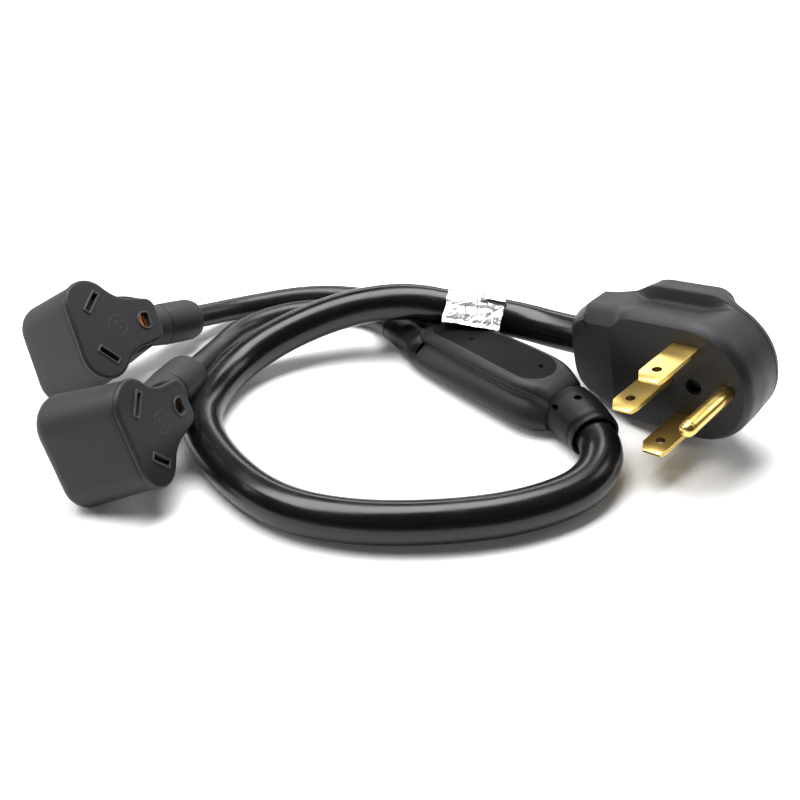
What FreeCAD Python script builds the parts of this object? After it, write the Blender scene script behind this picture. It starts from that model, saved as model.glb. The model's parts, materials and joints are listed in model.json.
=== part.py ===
"""Y adapter cord: one 50 A plug, one thick cord, a moulded junction and two 30 A connectors.

Millimetres. +Z is up and Z = 0 is the surface that the adapter lies on. The origin is below
the middle of everything but the free cords. Each moulding is drawn in a frame of its own:
  plug:       X from the neutral blade to the ground pin, Z from the face into the body
  junction:   X from the two branch cords to the thick cord, Z up
  connector:  X from the slots to the cord, Z from the face into the body
"""
import FreeCAD, Part
import Sketcher
import math
import os
import re
from FreeCAD import Placement, Rotation, Vector

doc = FreeCAD.newDocument("y_adapter")
sheet = doc.addObject("Spreadsheet::Sheet", "sizes")

SIZES = [
    # alias, value, meaning
    ("main_cord_radius", 8.75, "thick cord, four conductors"),
    ("branch_cord_radius", 5.65, "branch cord, three conductors"),
    ("main_lead_radius", 2.3, "insulated conductor of the thick cord"),
    ("branch_lead_radius", 1.4, "insulated conductor of a branch cord"),
    ("bore_gap", 0.1, "air between a cord and the moulding round it"),
    ("slot_gap", 0.05, "air between a blade and the moulding round it"),
    ("lead_gap", 0.3, "air between a jacket's end and the leads' first point"),
    # plug
    ("plug_half_height", 26.6, "half the plug's height, and its round end's radius"),
    ("plug_face_bevel", 2.2, "bevel round the face"),
    ("plug_depth", 33.0, "face to back, without the grip"),
    ("plug_back_round", 9.0, "rounding of the back edge"),
    ("plug_shoulder", 46.0, "blade centre to where the cord end tapers"),
    ("plug_cord_end", 63.0, "blade centre to the cord end"),
    ("plug_end_half_height", 12.5, "half height of the cord end"),
    ("plug_end_slope_start", 36.0, "where the face starts to slope back"),
    ("plug_end_slope", 17.0, "slope of the face at the cord end, degrees"),
    ("plug_skin", 5.0, "face thickness over the carrier"),
    ("plug_cord_height", 17.8, "face to the cord's axis"),
    ("grip_half_height", 28.0, "half the height over the finger ridges"),
    ("grip_start", -33.0, "grip's end near the cord"),
    ("grip_stop", 5.0, "grip's end near the ground pin"),
    ("grip_front", 27.0, "face to the front of the ridges"),
    ("grip_back", 38.0, "face to the grip's back"),
    ("grip_round", 4.0, "rounding of the grip"),
    ("valley_radius", 7.5, "finger valley in front of a ridge"),
    ("valley_height", 29.6, "plug axis to the valley's centre"),
    ("valley_depth", 23.0, "face to the valley's centre"),
    ("chamber_half_height", 21.0, "wiring chamber"),
    ("chamber_end", 53.0, "blade centre to the chamber's cord end"),
    ("chamber_back", 28.0, "face to the chamber's back"),
    ("carrier_back", 12.0, "face to the back of the blade carrier"),
    ("carrier_end", 27.0, "blade centre to the carrier's cord end"),
    ("blade_width", 11.9, "all flat blades"),
    ("blade_thickness", 2.2, "sheet folded double"),
    ("blade_reach", 30.6, "face to tip"),
    ("blade_bevel", 0.7, "bevel at the tip"),
    ("blade_hole_radius", 2.0, "hole in each flat blade"),
    ("blade_hole_from_tip", 8.5, "tip to the hole's centre"),
    ("blade_root", 13.0, "face to the end of the full width"),
    ("tang_width", 7.0, "blade tang behind the carrier"),
    ("tang_back", 16.5, "face to the end of the tang"),
    ("hot_offset", 16.35, "plug axis to a hot blade's middle"),
    ("neutral_offset", 12.85, "towards the cord"),
    ("ground_offset", 17.4, "away from the cord"),
    ("ground_radius", 3.3, "round pin"),
    ("ground_reach", 33.9, "face to the pin's rounded tip"),
    ("ground_neck_radius", 2.9, "the pin inside the plug"),
    ("barrel_radius", 3.9, "crimp barrel of a blade"),
    ("barrel_bore", 2.4, "inside of that barrel"),
    ("barrel_length", 10.5, "along the lead"),
    ("barrel_overhang", 9.0, "blade centre to the barrel's mouth"),
    ("barrel_height", 19.5, "face to the barrel's axis"),
    ("clip_thickness", 1.2, "steel clip on the jacket's end"),
    ("clip_width", 4.0, "along the cord"),
    ("jacket_end_in_plug", 50.0, "blade centre to the end of the jacket"),
    # junction
    ("junction_left", -39.1, "face where the branch cords leave"),
    ("junction_right", 45.3, "face where the thick cord enters"),
    ("junction_height", 12.15, "surface to the axis at the thick cord"),
    ("junction_low_height", 9.55, "surface to the axis at the branch cords"),
    ("branch_spread", 7.2, "junction axis to a branch cord at the left face"),
    ("branch_splay", 15.0, "degrees that both branch cords turn aside"),
    ("branch_jacket_inset", 5.0, "length of jacket inside the left face"),
    ("branch_boot_length", 22.6, "strain relief"),
    ("branch_boot_root", 7.8, "its radius at the junction"),
    ("branch_boot_tip", 6.9, "its radius at the tip"),
    ("inlet_boot_root", 12.05, "strain relief of the thick cord, radius at the junction"),
    ("inlet_boot_mouth", 10.7, "its radius at the mouth"),
    ("inlet_boot_length", 22.5, "along the cord"),
    ("inlet_jacket_inset", 3.0, "length of jacket inside the right face"),
    ("sleeve_radius", 3.5, "crimp sleeve"),
    ("sleeve_bore", 2.4, "its bore"),
    ("sleeve_half_length", 10.0, "half its length"),
    ("hot_sleeve_offset", 11.3, "junction axis to a hot sleeve"),
    ("inner_sleeve_offset", 3.8, "neutral and ground sleeves, sideways"),
    ("inner_sleeve_rise", 3.5, "neutral sleeve up, ground sleeve down"),
    ("sleeve_grip", 3.0, "length of a thick lead inside its sleeve"),
    # connector
    ("lobe_radius", 11.1, "round lobe behind a slot"),
    ("lobe_back", -0.9, "lobe centre along X"),
    ("lobe_side", 11.1, "lobe centre along Y"),
    ("waist_radius", 17.6, "concave side between the lobe and the ground end"),
    ("waist_x", 22.1, "its centre along X"),
    ("waist_y", 28.4, "its centre along Y"),
    ("web_half_width", 18.2, "material between the lobes"),
    ("ground_end", 31.9, "end of the face towards the cord"),
    ("ground_half_width", 9.9, "half width of that end"),
    ("ground_round", 4.55, "its corners"),
    ("face_thickness", 2.35, "face plate"),
    ("face_lip", 0.5, "overhang of the face plate"),
    ("connector_depth", 41.0, "face to back"),
    ("back_round", 4.0, "rounding of the back edge"),
    ("ground_depth", 28.8, "face to the back of the ground end"),
    ("connector_wall", 3.0, "wall of the moulding"),
    ("slot_pitch", 12.1, "connector axis to a slot's middle"),
    ("slot_length", 9.6, "slot in the face"),
    ("slot_width", 2.15, "slot in the face"),
    ("rim_width", 0.9, "raised rim round each opening"),
    ("rim_height", 0.5, "its height"),
    ("ground_hole_x", 24.3, "connector axis to the ground hole"),
    ("ground_hole_radius", 3.4, "D-shaped hole"),
    ("ground_flat", 2.0, "hole centre to its flat side"),
    ("cord_axis_depth", 18.0, "face to the cord's axis"),
    ("neck_radius", 8.85, "between the body and the collar"),
    ("neck_end", 45.3, "connector axis to the neck's end"),
    ("collar_radius", 10.1, "strain relief collar"),
    ("collar_end", 65.8, "connector axis to the collar's end"),
    ("collar_lip", 2.5, "narrower ring at the collar's end"),
    ("jacket_end_in_connector", 43.2, "connector axis to the end of the jacket"),
    ("contact_start", 2.8, "face to the front of a contact"),
    ("contact_back", 18.5, "face to the back of a contact"),
    ("contact_wall", 0.6, "contact sheet"),
    ("small_barrel_radius", 2.5, "crimp barrel of a contact"),
    ("small_barrel_bore", 1.5, "inside of that barrel"),
    ("small_barrel_length", 9.0, "along the lead"),
    ("small_barrel_depth", 20.9, "face to the barrel's axis"),
    # foil label
    ("label_start", 54.0, "along the thick cord from its end in the plug"),
    ("label_length", 28.0, "along the cord"),
    ("label_thickness", 0.3, "foil and its folds"),
]
for row, (alias, value, meaning) in enumerate(SIZES, start=1):
    sheet.set("A%d" % row, alias)
    sheet.set("B%d" % row, str(value))
    sheet.setAlias("B%d" % row, alias)
    sheet.set("C%d" % row, meaning)
doc.recompute()
ALIASES = {alias for alias, value, meaning in SIZES}

# Where each moulding lies: x, y, z of its frame's origin, then yaw, pitch and roll in degrees.
POSES = {
    "plug": (117.5, -37.8, 34.75, -43.3, -11.0, -87.6),
    "junction": (40.5, 10.9, 0.0, -45.57, 0.0, 0.0),
    "rear": (-130.6, -2.2, 39.6, 50.8, 15.1, -126.7),
    "front": (-95.8, -69.9, 33.6, 73.8, 9.1, -110.5),
}

# The cords' routes: corners that the tube rounds off, in the adapter's frame.
MAIN_ROUTE = [
    (94.0, 9.0, 26.0), (76.5, 25.0, 21.5), (55.0, 37.5, 21.5), (27.0, 40.5, 25.0),
    (2.5, 44.5, 28.0), (-24.5, 44.0, 24.0), (-51.0, 35.0, 17.5), (-73.0, 19.5, 11.0),
    (-85.5, -7.0, 9.0), (-86.5, -32.0, 9.0), (-72.0, -60.0, 9.0), (-49.5, -84.0, 9.0),
    (-21.0, -93.5, 9.0), (13.5, -94.0, 9.0), (48.0, -88.0, 9.0), (77.5, -71.5, 9.0),
    (86.0, -44.0, 12.0), (70.5, -21.0, 12.0),
]
FRONT_ROUTE = [
    (-100.5, -25.5, 20.5), (-93.5, -1.5, 16.0), (-87.5, 28.5, 9.0), (-79.5, 56.5, 5.8),
    (-51.5, 74.5, 5.8), (-19.5, 71.0, 5.8), (-1.5, 52.0, 8.2), (11.0, 29.5, 9.7),
]
REAR_ROUTE = [
    (-117.5, 37.0, 18.4), (-101.5, 56.5, 11.5), (-80.0, 77.5, 5.8), (-46.5, 90.0, 5.8),
    (-13.5, 85.5, 5.8), (8.5, 63.5, 8.2), (21.5, 40.0, 9.7),
]

# The point of the layout that becomes the origin.
ORIGIN = Vector(-7.334, -8.646, 0.0)


def from_origin(route):
    return [tuple(Vector(*point) - ORIGIN) for point in route]


MAIN_ROUTE, FRONT_ROUTE, REAR_ROUTE = map(from_origin, (MAIN_ROUTE, FRONT_ROUTE, REAR_ROUTE))

ARC_SHARE = 0.45          # share of the shorter run that an arc takes at each corner
ALONG_X = Rotation(Vector(0, 1, 0), 90)
ALONG_Y = Rotation(Vector(1, 0, 0), -90)
FACING_X = Rotation(Vector(0, 1, 0), Vector(0, 0, 1), Vector(1, 0, 0), "XYZ")
parts = []


# ---------------------------------------------------------------- helpers

def size(alias):
    return float(sheet.get(alias))


def cells(expression):
    """Turn the sheet's aliases in an expression into references to its cells."""
    return re.sub(r"[a-z_]+", lambda m: "sizes." + m[0] if m[0] in ALIASES else m[0], expression)


def bound(kind, name, sizes, at=(), rotation=None):
    """A primitive whose sizes, and position if it is given, follow the sheet."""
    solid = doc.addObject(kind, name)
    if rotation:
        solid.Placement = Placement(Vector(), rotation)
    for prop, expression in sizes.items():
        solid.setExpression(prop, cells(expression))
    for axis, expression in zip("xyz", at):
        solid.setExpression("Placement.Base." + axis, cells(expression))
    return solid


def block(name, x_from, x_to, half_y, z_from, z_to, y_mid="0"):
    """A box between two X planes and two Z planes, centred on y_mid."""
    sizes = {"Length": "%s - (%s)" % (x_to, x_from), "Width": "2 * (%s)" % half_y,
             "Height": "%s - (%s)" % (z_to, z_from)}
    return bound("Part::Box", name, sizes, (x_from, "%s - (%s)" % (y_mid, half_y), z_from))


def rod(name, radius, length, at, rotation=None):
    return bound("Part::Cylinder", name, {"Radius": radius, "Height": length}, at, rotation)


def fuse(name, *shapes):
    joined = doc.addObject("Part::MultiFuse", name)
    joined.Shapes = list(shapes)
    joined.Refine = True
    return joined


def cut(name, base, *tools):
    result = doc.addObject("Part::Cut", name)
    result.Base = base
    result.Tool = tools[0] if len(tools) == 1 else fuse(name + "_tools", *tools)
    return result


def shaped(name, shape):
    feature = doc.addObject("Part::Feature", name)
    feature.Shape = shape
    return feature


def pose(name):
    x, y, z, yaw, pitch, roll = POSES[name]
    return Placement(Vector(x, y, z) - ORIGIN, Rotation(yaw, pitch, roll))


def edges_where(shape, test):
    """Numbers of the edges whose every vertex passes the test."""
    return [number for number, edge in enumerate(shape.Edges, start=1)
            if all(test(vertex.Point) for vertex in edge.Vertexes)]


def edge_names(numbers):
    return ["Edge%d" % number for number in numbers]


def rounded(name, solid, radius, test):
    """Fillet the edges whose every vertex passes the test."""
    doc.recompute()
    fillet = doc.addObject("Part::Fillet", name)
    fillet.Base = solid
    fillet.Edges = [(number, radius, radius) for number in edges_where(solid.Shape, test)]
    return fillet


def placed(solid, frame):
    """Move a boolean's result from a moulding's frame to the adapter's frame."""
    if solid.ExpressionEngine:
        raise ValueError("%s would spring back: put it in a boolean first" % solid.Name)
    solid.Placement = pose(frame).multiply(solid.Placement)
    return solid


def add_part(solid, label):
    solid.Label = label
    parts.append(solid)
    return solid


# ---------------------------------------------------------------- routes of cords and leads

class Run:
    """A straight stretch of a route."""

    def __init__(self, start, end):
        self.start = start
        self.length = (end - start).Length
        self.direction = (end - start).normalize()

    def point(self, along):
        return self.start + self.direction * along

    def edge(self, low, high):
        return Part.LineSegment(self.point(low), self.point(high)).toShape()


class Turn:
    """A tangent arc that rounds off a corner of a route."""

    def __init__(self, before, corner, after):
        incoming = (corner - before).normalize()
        outgoing = (after - corner).normalize()
        self.angle = incoming.getAngle(outgoing)
        reach = ARC_SHARE * min((corner - before).Length, (after - corner).Length)
        self.radius = reach / math.tan(self.angle / 2)
        inward = (outgoing - incoming * incoming.dot(outgoing)).normalize()
        self.start = corner - incoming * reach
        self.end = corner + outgoing * reach
        self.centre = self.start + inward * self.radius
        self.outward = inward * -1
        self.incoming = incoming
        self.length = self.radius * self.angle

    def point(self, along):
        angle = along / self.radius
        return self.centre + (self.outward * math.cos(angle) + self.incoming * math.sin(angle)) * self.radius

    def edge(self, low, high):
        return Part.Arc(self.point(low), self.point((low + high) / 2), self.point(high)).toShape()


def stretches(points):
    """The runs and turns of a route, in order."""
    corners = [Vector(*point) for point in points]
    turns = [Turn(a, b, c) for a, b, c in zip(corners, corners[1:], corners[2:])]
    starts = [corners[0]] + [turn.end for turn in turns]
    ends = [turn.start for turn in turns] + [corners[-1]]
    ordered = []
    for number, (start, end) in enumerate(zip(starts, ends)):
        ordered.append(Run(start, end))
        if number < len(turns):
            ordered.append(turns[number])
    return ordered


def route_length(points):
    return sum(stretch.length for stretch in stretches(points))


def path(points, start=0.0, end=None):
    """The wire of a route between two distances along it."""
    end = route_length(points) if end is None else end
    edges = []
    passed = 0.0
    for stretch in stretches(points):
        low = max(start - passed, 0.0)
        high = min(end - passed, stretch.length)
        if high - low > 1e-6:
            edges.append(stretch.edge(low, high))
        passed += stretch.length
    return Part.Wire(edges)


def ring(edge, parameter, radius):
    """A circle square to an edge."""
    return Part.Wire(Part.Circle(edge.valueAt(parameter), edge.tangentAt(parameter), radius).toShape())


def tube(points, radius, start=0.0, end=None, end_radius=None):
    """A round solid along a route, with an even taper if it has an end radius."""
    wire = path(points, start, end)
    first, last = wire.OrderedEdges[0], wire.OrderedEdges[-1]
    sections = [ring(first, first.FirstParameter, radius)]
    end_radius = end_radius or radius
    if end_radius != radius:
        sections.append(ring(last, last.LastParameter, end_radius))
    solid = wire.makePipeShell(sections, True, False)
    expected = math.pi * (radius ** 2 + radius * end_radius + end_radius ** 2) / 3 * wire.Length
    if abs(solid.Volume - expected) > 0.01 * expected:
        raise ValueError("tube volume %.1f, expected %.1f" % (solid.Volume, expected))
    return solid


def end_rod(name, route, radius, at_start, low, high):
    """A rod on a cord's first or last run, between two distances from that end."""
    end, next_point = [Vector(*point) for point in (route[:2] if at_start else route[:-3:-1])]
    outward = (next_point - end).normalize()
    solid = doc.addObject("Part::Cylinder", name)
    solid.Radius = radius
    solid.Height = high - low
    solid.Placement = Placement(end + outward * low, Rotation(Vector(0, 0, 1), outward))
    return solid


def in_frame(frame, points):
    """Points of a moulding's frame, in the adapter's frame."""
    return [tuple(pose(frame).multVec(Vector(*point))) for point in points]


def lead(label, frame, points, radius):
    """An insulated conductor along a route drawn in a moulding's frame."""
    return add_part(shaped(label, tube(in_frame(frame, points), radius)), label)


# ---------------------------------------------------------------- plug

def plug_outline(body):
    """D-shaped face outline that tapers towards the cord."""
    sketch = body.newObject("Sketcher::SketchObject", "plug_outline")
    plane = next(item for item in body.Origin.OriginFeatures if item.Role == "XY_Plane")
    sketch.AttachmentSupport = [(plane, "")]
    sketch.MapMode = "FlatFace"
    half, end_half = size("plug_half_height"), size("plug_end_half_height")
    shoulder, end = size("plug_shoulder"), size("plug_cord_end")
    arc = Part.ArcOfCircle(Part.Circle(Vector(), Vector(0, 0, 1), half), -math.pi / 2, math.pi / 2)
    corners = [Vector(0, half, 0), Vector(-shoulder, half, 0), Vector(-end, end_half, 0),
               Vector(-end, -end_half, 0), Vector(-shoulder, -half, 0), Vector(0, -half, 0)]
    sketch.addGeometry(arc)
    for start, stop in zip(corners, corners[1:]):
        sketch.addGeometry(Part.LineSegment(start, stop))
    arc_id, top, upper, cap, lower, bottom = range(6)
    start_point, end_point, centre_point = 1, 2, 3
    joints = [(arc_id, end_point, top, start_point), (top, end_point, upper, start_point),
              (upper, end_point, cap, start_point), (cap, end_point, lower, start_point),
              (lower, end_point, bottom, start_point), (bottom, end_point, arc_id, start_point)]
    for first, first_end, second, second_end in joints:
        sketch.addConstraint(Sketcher.Constraint("Coincident", first, first_end, second, second_end))
    sketch.addConstraint(Sketcher.Constraint("Coincident", arc_id, centre_point, -1, 1))
    sketch.addConstraint(Sketcher.Constraint("Horizontal", top))
    sketch.addConstraint(Sketcher.Constraint("Horizontal", bottom))
    sketch.addConstraint(Sketcher.Constraint("PointOnObject", top, start_point, -2))
    sketch.addConstraint(Sketcher.Constraint("PointOnObject", bottom, end_point, -2))
    sketch.addConstraint(Sketcher.Constraint("Symmetric", cap, start_point, cap, end_point, -1))
    sketch.addConstraint(Sketcher.Constraint("Equal", top, bottom))
    driving = [("Radius", (arc_id,), half, "plug_half_height"),
               ("DistanceY", (cap, end_point, cap, start_point), 2 * end_half, "2 * plug_end_half_height"),
               ("DistanceX", (top, end_point, top, start_point), shoulder, "plug_shoulder"),
               ("DistanceX", (cap, start_point, -1, 1), end, "plug_cord_end")]
    for kind, where, value, expression in driving:
        number = sketch.addConstraint(Sketcher.Constraint(kind, *where, value))
        sketch.setExpression("Constraints[%d]" % number, cells(expression))
    return sketch


def plug_outside():
    """Barrel of the plug with its bevelled face and rounded back."""
    body = doc.addObject("PartDesign::Body", "plug_barrel")
    pad = body.newObject("PartDesign::Pad", "plug_pad")
    pad.Profile = plug_outline(body)
    pad.setExpression("Length", cells("plug_depth"))
    doc.recompute()
    bevel = body.newObject("PartDesign::Chamfer", "plug_face_bevel_edge")
    bevel.Base = (pad, edge_names(edges_where(pad.Shape, lambda p: abs(p.z) < 1e-6)))
    bevel.setExpression("Size", cells("plug_face_bevel"))
    doc.recompute()
    back = size("plug_depth")
    rounding = body.newObject("PartDesign::Fillet", "plug_back_edge")
    rounding.Base = (bevel, edge_names(edges_where(bevel.Shape, lambda p: abs(p.z - back) < 1e-6)))
    rounding.setExpression("Radius", cells("plug_back_round"))
    doc.recompute()
    return body


def plug_grip():
    """Rounded bar across the back whose ends are the finger ridges."""
    bar = block("grip_bar", "grip_start", "grip_stop", "grip_half_height", "grip_front", "grip_back")
    doc.recompute()
    front, radius = size("grip_front"), size("grip_round")
    chosen = edges_where(bar.Shape, lambda p: p.z > front + 1e-6)
    chosen += edges_where(bar.Shape, lambda p: p.x > 0) + edges_where(bar.Shape, lambda p: p.x < 0)
    rounding = doc.addObject("Part::Fillet", "grip")
    rounding.Base = bar
    rounding.Edges = [(number, radius, radius) for number in sorted(set(chosen))]
    return rounding


def plug_chamber():
    """Hollow where the blades meet the leads."""
    bay = block("chamber_bay", "-chamber_end", "0", "chamber_half_height", "plug_skin", "chamber_back")
    end = rod("chamber_round", "chamber_half_height", "chamber_back - plug_skin", ("0", "0", "plug_skin"))
    return fuse("plug_chamber", bay, end)


def blade_slots(name, z_from, z_to, pin_radius):
    """Tools for the four openings that the blades and the pin pass through."""
    half_width = "blade_width / 2 + slot_gap"
    half_thickness = "blade_thickness / 2 + slot_gap"
    tools = []
    for key, x, y in (("upper", "0", "-hot_offset"), ("lower", "0", "hot_offset"), ("mid", "-neutral_offset", "0")):
        tools.append(block("%s_%s" % (name, key), "%s - (%s)" % (x, half_width), "%s + (%s)" % (x, half_width),
                           half_thickness, z_from, z_to, y))
    tools.append(rod(name + "_pin", pin_radius + " + slot_gap", "%s - (%s)" % (z_to, z_from),
                     ("ground_offset", "0", z_from)))
    return tools


def plug_overmould():
    outside = fuse("plug_mass", plug_outside(), plug_grip())
    valleys = [rod("valley_%s" % key, "valley_radius", "grip_stop - grip_start",
                   ("grip_start", side + "valley_height", "valley_depth"), ALONG_X)
               for key, side in (("upper", "-"), ("lower", ""))]
    angle = math.radians(size("plug_end_slope"))
    along = Vector(-math.cos(angle), 0, math.sin(angle))
    forward = Vector(-math.sin(angle), 0, -math.cos(angle))
    slope = bound("Part::Box", "end_slope",
                  {"Length": "plug_cord_end", "Width": "4 * plug_half_height", "Height": "plug_depth"},
                  ("-plug_end_slope_start", "-2 * plug_half_height", "0"),
                  Rotation(along, Vector(0, 1, 0), forward, "XYZ"))
    hollow = cut("plug_hollow", outside, *valleys, slope, plug_chamber(),
                 *blade_slots("face_slot", "-1", "plug_skin + 1", "ground_radius"))
    bore = end_rod("plug_cord_bore", MAIN_ROUTE, size("main_cord_radius") + size("bore_gap"), True, -0.1, 20.0)
    add_part(cut("plug_overmould_solid", placed(hollow, "plug"), bore), "plug_overmould")


def plug_carrier():
    """Stiff plate behind the face that holds the blades."""
    gap = "chamber_half_height - bore_gap"
    plate = fuse("carrier_plate",
                 block("carrier_bay", "-carrier_end", "0", gap, "plug_skin", "carrier_back"),
                 rod("carrier_round", gap, "carrier_back - plug_skin", ("0", "0", "plug_skin")))
    carrier = cut("carrier", plate, *blade_slots("carrier_slot", "plug_skin - 1", "carrier_back + 1", "ground_neck_radius"))
    add_part(placed(carrier, "plug"), "plug_blade_carrier")


def crimp_barrel(name, x, y):
    """Crimp barrel of a blade or the pin, as a solid and its bore."""
    start = "%s - barrel_overhang" % x
    solid = rod(name + "_barrel", "barrel_radius", "barrel_length", (start, y, "barrel_height"), ALONG_X)
    bore = rod(name + "_barrel_bore", "barrel_bore", "barrel_length + 2",
               (start + " - 1", y, "barrel_height"), ALONG_X)
    return solid, bore


def flat_blade(label, x, y):
    """Folded sheet blade with a bevelled tip, a hole, a tang and a crimp barrel."""
    half = "blade_width / 2"
    strip = block(label + "_strip", "%s - %s" % (x, half), "%s + %s" % (x, half), "blade_thickness / 2",
                  "-blade_reach", "blade_root", y)
    doc.recompute()
    tip = -size("blade_reach")
    bevel = doc.addObject("Part::Chamfer", label + "_tip")
    bevel.Base = strip
    bevel_size = size("blade_bevel")
    numbers = edges_where(strip.Shape, lambda p: abs(p.z - tip) < 1e-6)
    bevel.Edges = [(number, bevel_size, bevel_size) for number in numbers]
    tang = block(label + "_tang", "%s - tang_width / 2" % x, "%s + tang_width / 2" % x, "blade_thickness / 2",
                 "blade_root - 1", "tang_back", y)
    barrel, bore = crimp_barrel(label, x, y)
    hole = rod(label + "_hole", "blade_hole_radius", "blade_thickness + 2",
               (x, "%s - blade_thickness / 2 - 1" % y, "blade_hole_from_tip - blade_reach"), ALONG_Y)
    blade = cut(label + "_solid", fuse(label + "_mass", bevel, tang, barrel), hole, bore)
    add_part(placed(blade, "plug"), label)


def ground_pin():
    shank = rod("ground_shank", "ground_radius", "ground_reach - ground_radius",
                ("ground_offset", "0", "ground_radius - ground_reach"))
    neck = rod("ground_neck", "ground_neck_radius", "tang_back + 1", ("ground_offset", "0", "-1"))
    tip = bound("Part::Sphere", "ground_tip", {"Radius": "ground_radius"},
                ("ground_offset", "0", "ground_radius - ground_reach"))
    barrel, bore = crimp_barrel("ground", "ground_offset", "0")
    pin = cut("ground_pin_solid", fuse("ground_mass", shank, neck, tip, barrel), bore)
    add_part(placed(pin, "plug"), "plug_ground_pin")


def plug_clip():
    """Steel band that grips the end of the jacket."""
    inner = size("main_cord_radius") + size("bore_gap")
    band = tube(MAIN_ROUTE, inner + size("clip_thickness"), 0.5, 0.5 + size("clip_width"))
    hole = tube(MAIN_ROUTE, inner, 0.0, 1.0 + size("clip_width"))
    add_part(shaped("clip", band.cut(hole)), "plug_cord_clip")


def plug_leads():
    start = -size("jacket_end_in_plug") + size("lead_gap")
    axis = size("plug_cord_height")
    mouth = size("barrel_height")
    overhang = size("barrel_overhang")
    spread = 2.9
    hot, neutral, ground = size("hot_offset"), -size("neutral_offset"), size("ground_offset")
    grip = 3.0
    routes = {
        "plug_lead_black": [(start, -spread, axis + spread), (-42, -spread, axis + spread),
                            (-20, -hot, mouth), (-overhang + grip, -hot, mouth)],
        "plug_lead_red": [(start, spread, axis - spread), (-42, spread, axis - spread),
                          (-20, hot, mouth), (-overhang + grip, hot, mouth)],
        "plug_lead_white": [(start, spread, axis + spread), (-42, spread, axis + spread),
                            (-31, 0, mouth), (neutral - overhang + grip, 0, mouth)],
        "plug_lead_green": [(start, -spread, axis - spread), (-42, -spread, axis - spread),
                            (-32, -7.2, 15), (-6, -7.6, 16), (2, 0, mouth),
                            (ground - overhang + grip, 0, mouth)],
    }
    for label, points in routes.items():
        lead(label, "plug", points, size("main_lead_radius"))


# ---------------------------------------------------------------- junction

# x position, half width and half height of the junction's oval sections
JUNCTION_SECTIONS = [(-39.1, 15.9, 9.3), (-27.8, 18.5, 10.1), (0.0, 19.5, 11.7), (28.8, 20.1, 12.0), (45.3, 14.9, 12.0)]
CHAMBER_SECTIONS = [(-32.9, 13.6, 6.1), (0.0, 15.4, 8.1), (32.9, 15.4, 8.2)]


def axis_height(x):
    """Height of the junction's axis at a position along it."""
    left, right = size("junction_left"), 0.0
    share = min(max((x - left) / (right - left), 0.0), 1.0)
    low, high = size("junction_low_height"), size("junction_height")
    return low + share * (high - low)


def oval_loft(name, sections):
    ovals = []
    for number, (x, half_width, half_height) in enumerate(sections):
        oval = doc.addObject("Part::Ellipse", "%s_oval_%d" % (name, number))
        oval.MajorRadius = half_width
        oval.MinorRadius = half_height
        oval.Placement = Placement(Vector(x, 0, axis_height(x)), FACING_X)
        ovals.append(oval)
    loft = doc.addObject("Part::Loft", name)
    loft.Sections = ovals
    loft.Solid = True
    return loft


def junction_overmould():
    shell = oval_loft("junction_outside", JUNCTION_SECTIONS)
    chamber = oval_loft("junction_chamber", CHAMBER_SECTIONS)
    lead_way = rod("lead_way", "main_cord_radius - 1.4", "junction_right - 28",
                   ("28", "0", "junction_height"), ALONG_X)
    hollow = cut("junction_hollow", shell, chamber, lead_way)
    gap = size("bore_gap")
    bores = [end_rod("inlet_bore", MAIN_ROUTE, size("main_cord_radius") + gap, False, -0.1, 12.0)]
    for key, route in (("front", FRONT_ROUTE), ("rear", REAR_ROUTE)):
        bores.append(end_rod(key + "_branch_bore", route, size("branch_cord_radius") + gap, False, -0.1, 12.0))
        bores.append(end_rod(key + "_lead_bore", route, size("branch_cord_radius") - 1.0, False, -9.0, 2.0))
    add_part(cut("junction_solid", placed(hollow, "junction"), *bores), "junction_overmould")


def half_space(name, x_from, x_to):
    """A large block between two planes of the junction's frame."""
    slab = block(name + "_slab", x_from, x_to, "50", "-30", "50")
    trim = block(name + "_trim", x_from, x_to, "49", "-30", "50")
    return placed(fuse(name, slab, trim), "junction")


def inlet_boot():
    """Strain relief that bends with the thick cord."""
    end = route_length(MAIN_ROUTE)
    mouth = end - size("inlet_jacket_inset") - size("inlet_boot_length")
    outside = shaped("inlet_boot_outside", tube(MAIN_ROUTE, size("inlet_boot_mouth"), mouth, end,
                                                size("inlet_boot_root")))
    bore = shaped("inlet_boot_bore", tube(MAIN_ROUTE, size("main_cord_radius") + size("bore_gap"), mouth - 3.0, end))
    inside = half_space("inlet_boot_trim", "junction_right - 30", "junction_right")
    add_part(cut("inlet_boot_solid", outside, bore, inside), "junction_inlet_boot")


def branch_boots():
    for key, side, route in (("front", -1, FRONT_ROUTE), ("rear", 1, REAR_ROUTE)):
        end = route_length(route)
        inset = size("branch_jacket_inset")
        length = size("branch_boot_length")
        first = Vector(*route[-1])
        second = Vector(*route[-2])
        direction = (second - first).normalize()
        cone = doc.addObject("Part::Cone", key + "_boot_cone")
        cone.setExpression("Radius1", cells("branch_boot_root"))
        cone.setExpression("Radius2", cells("branch_boot_tip"))
        cone.setExpression("Height", cells("branch_boot_length + 3"))
        cone.Placement = Placement(first + direction * (inset - 3.0), Rotation(Vector(0, 0, 1), direction))
        bore = shaped(key + "_boot_bore", tube(route, size("branch_cord_radius") + size("bore_gap"),
                                               end - inset - length - 6.0, end))
        trim = half_space(key + "_boot_trim", "junction_left", "junction_left + 30")
        add_part(cut(key + "_boot_solid", cone, bore, trim), "junction_boot_" + key)


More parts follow.
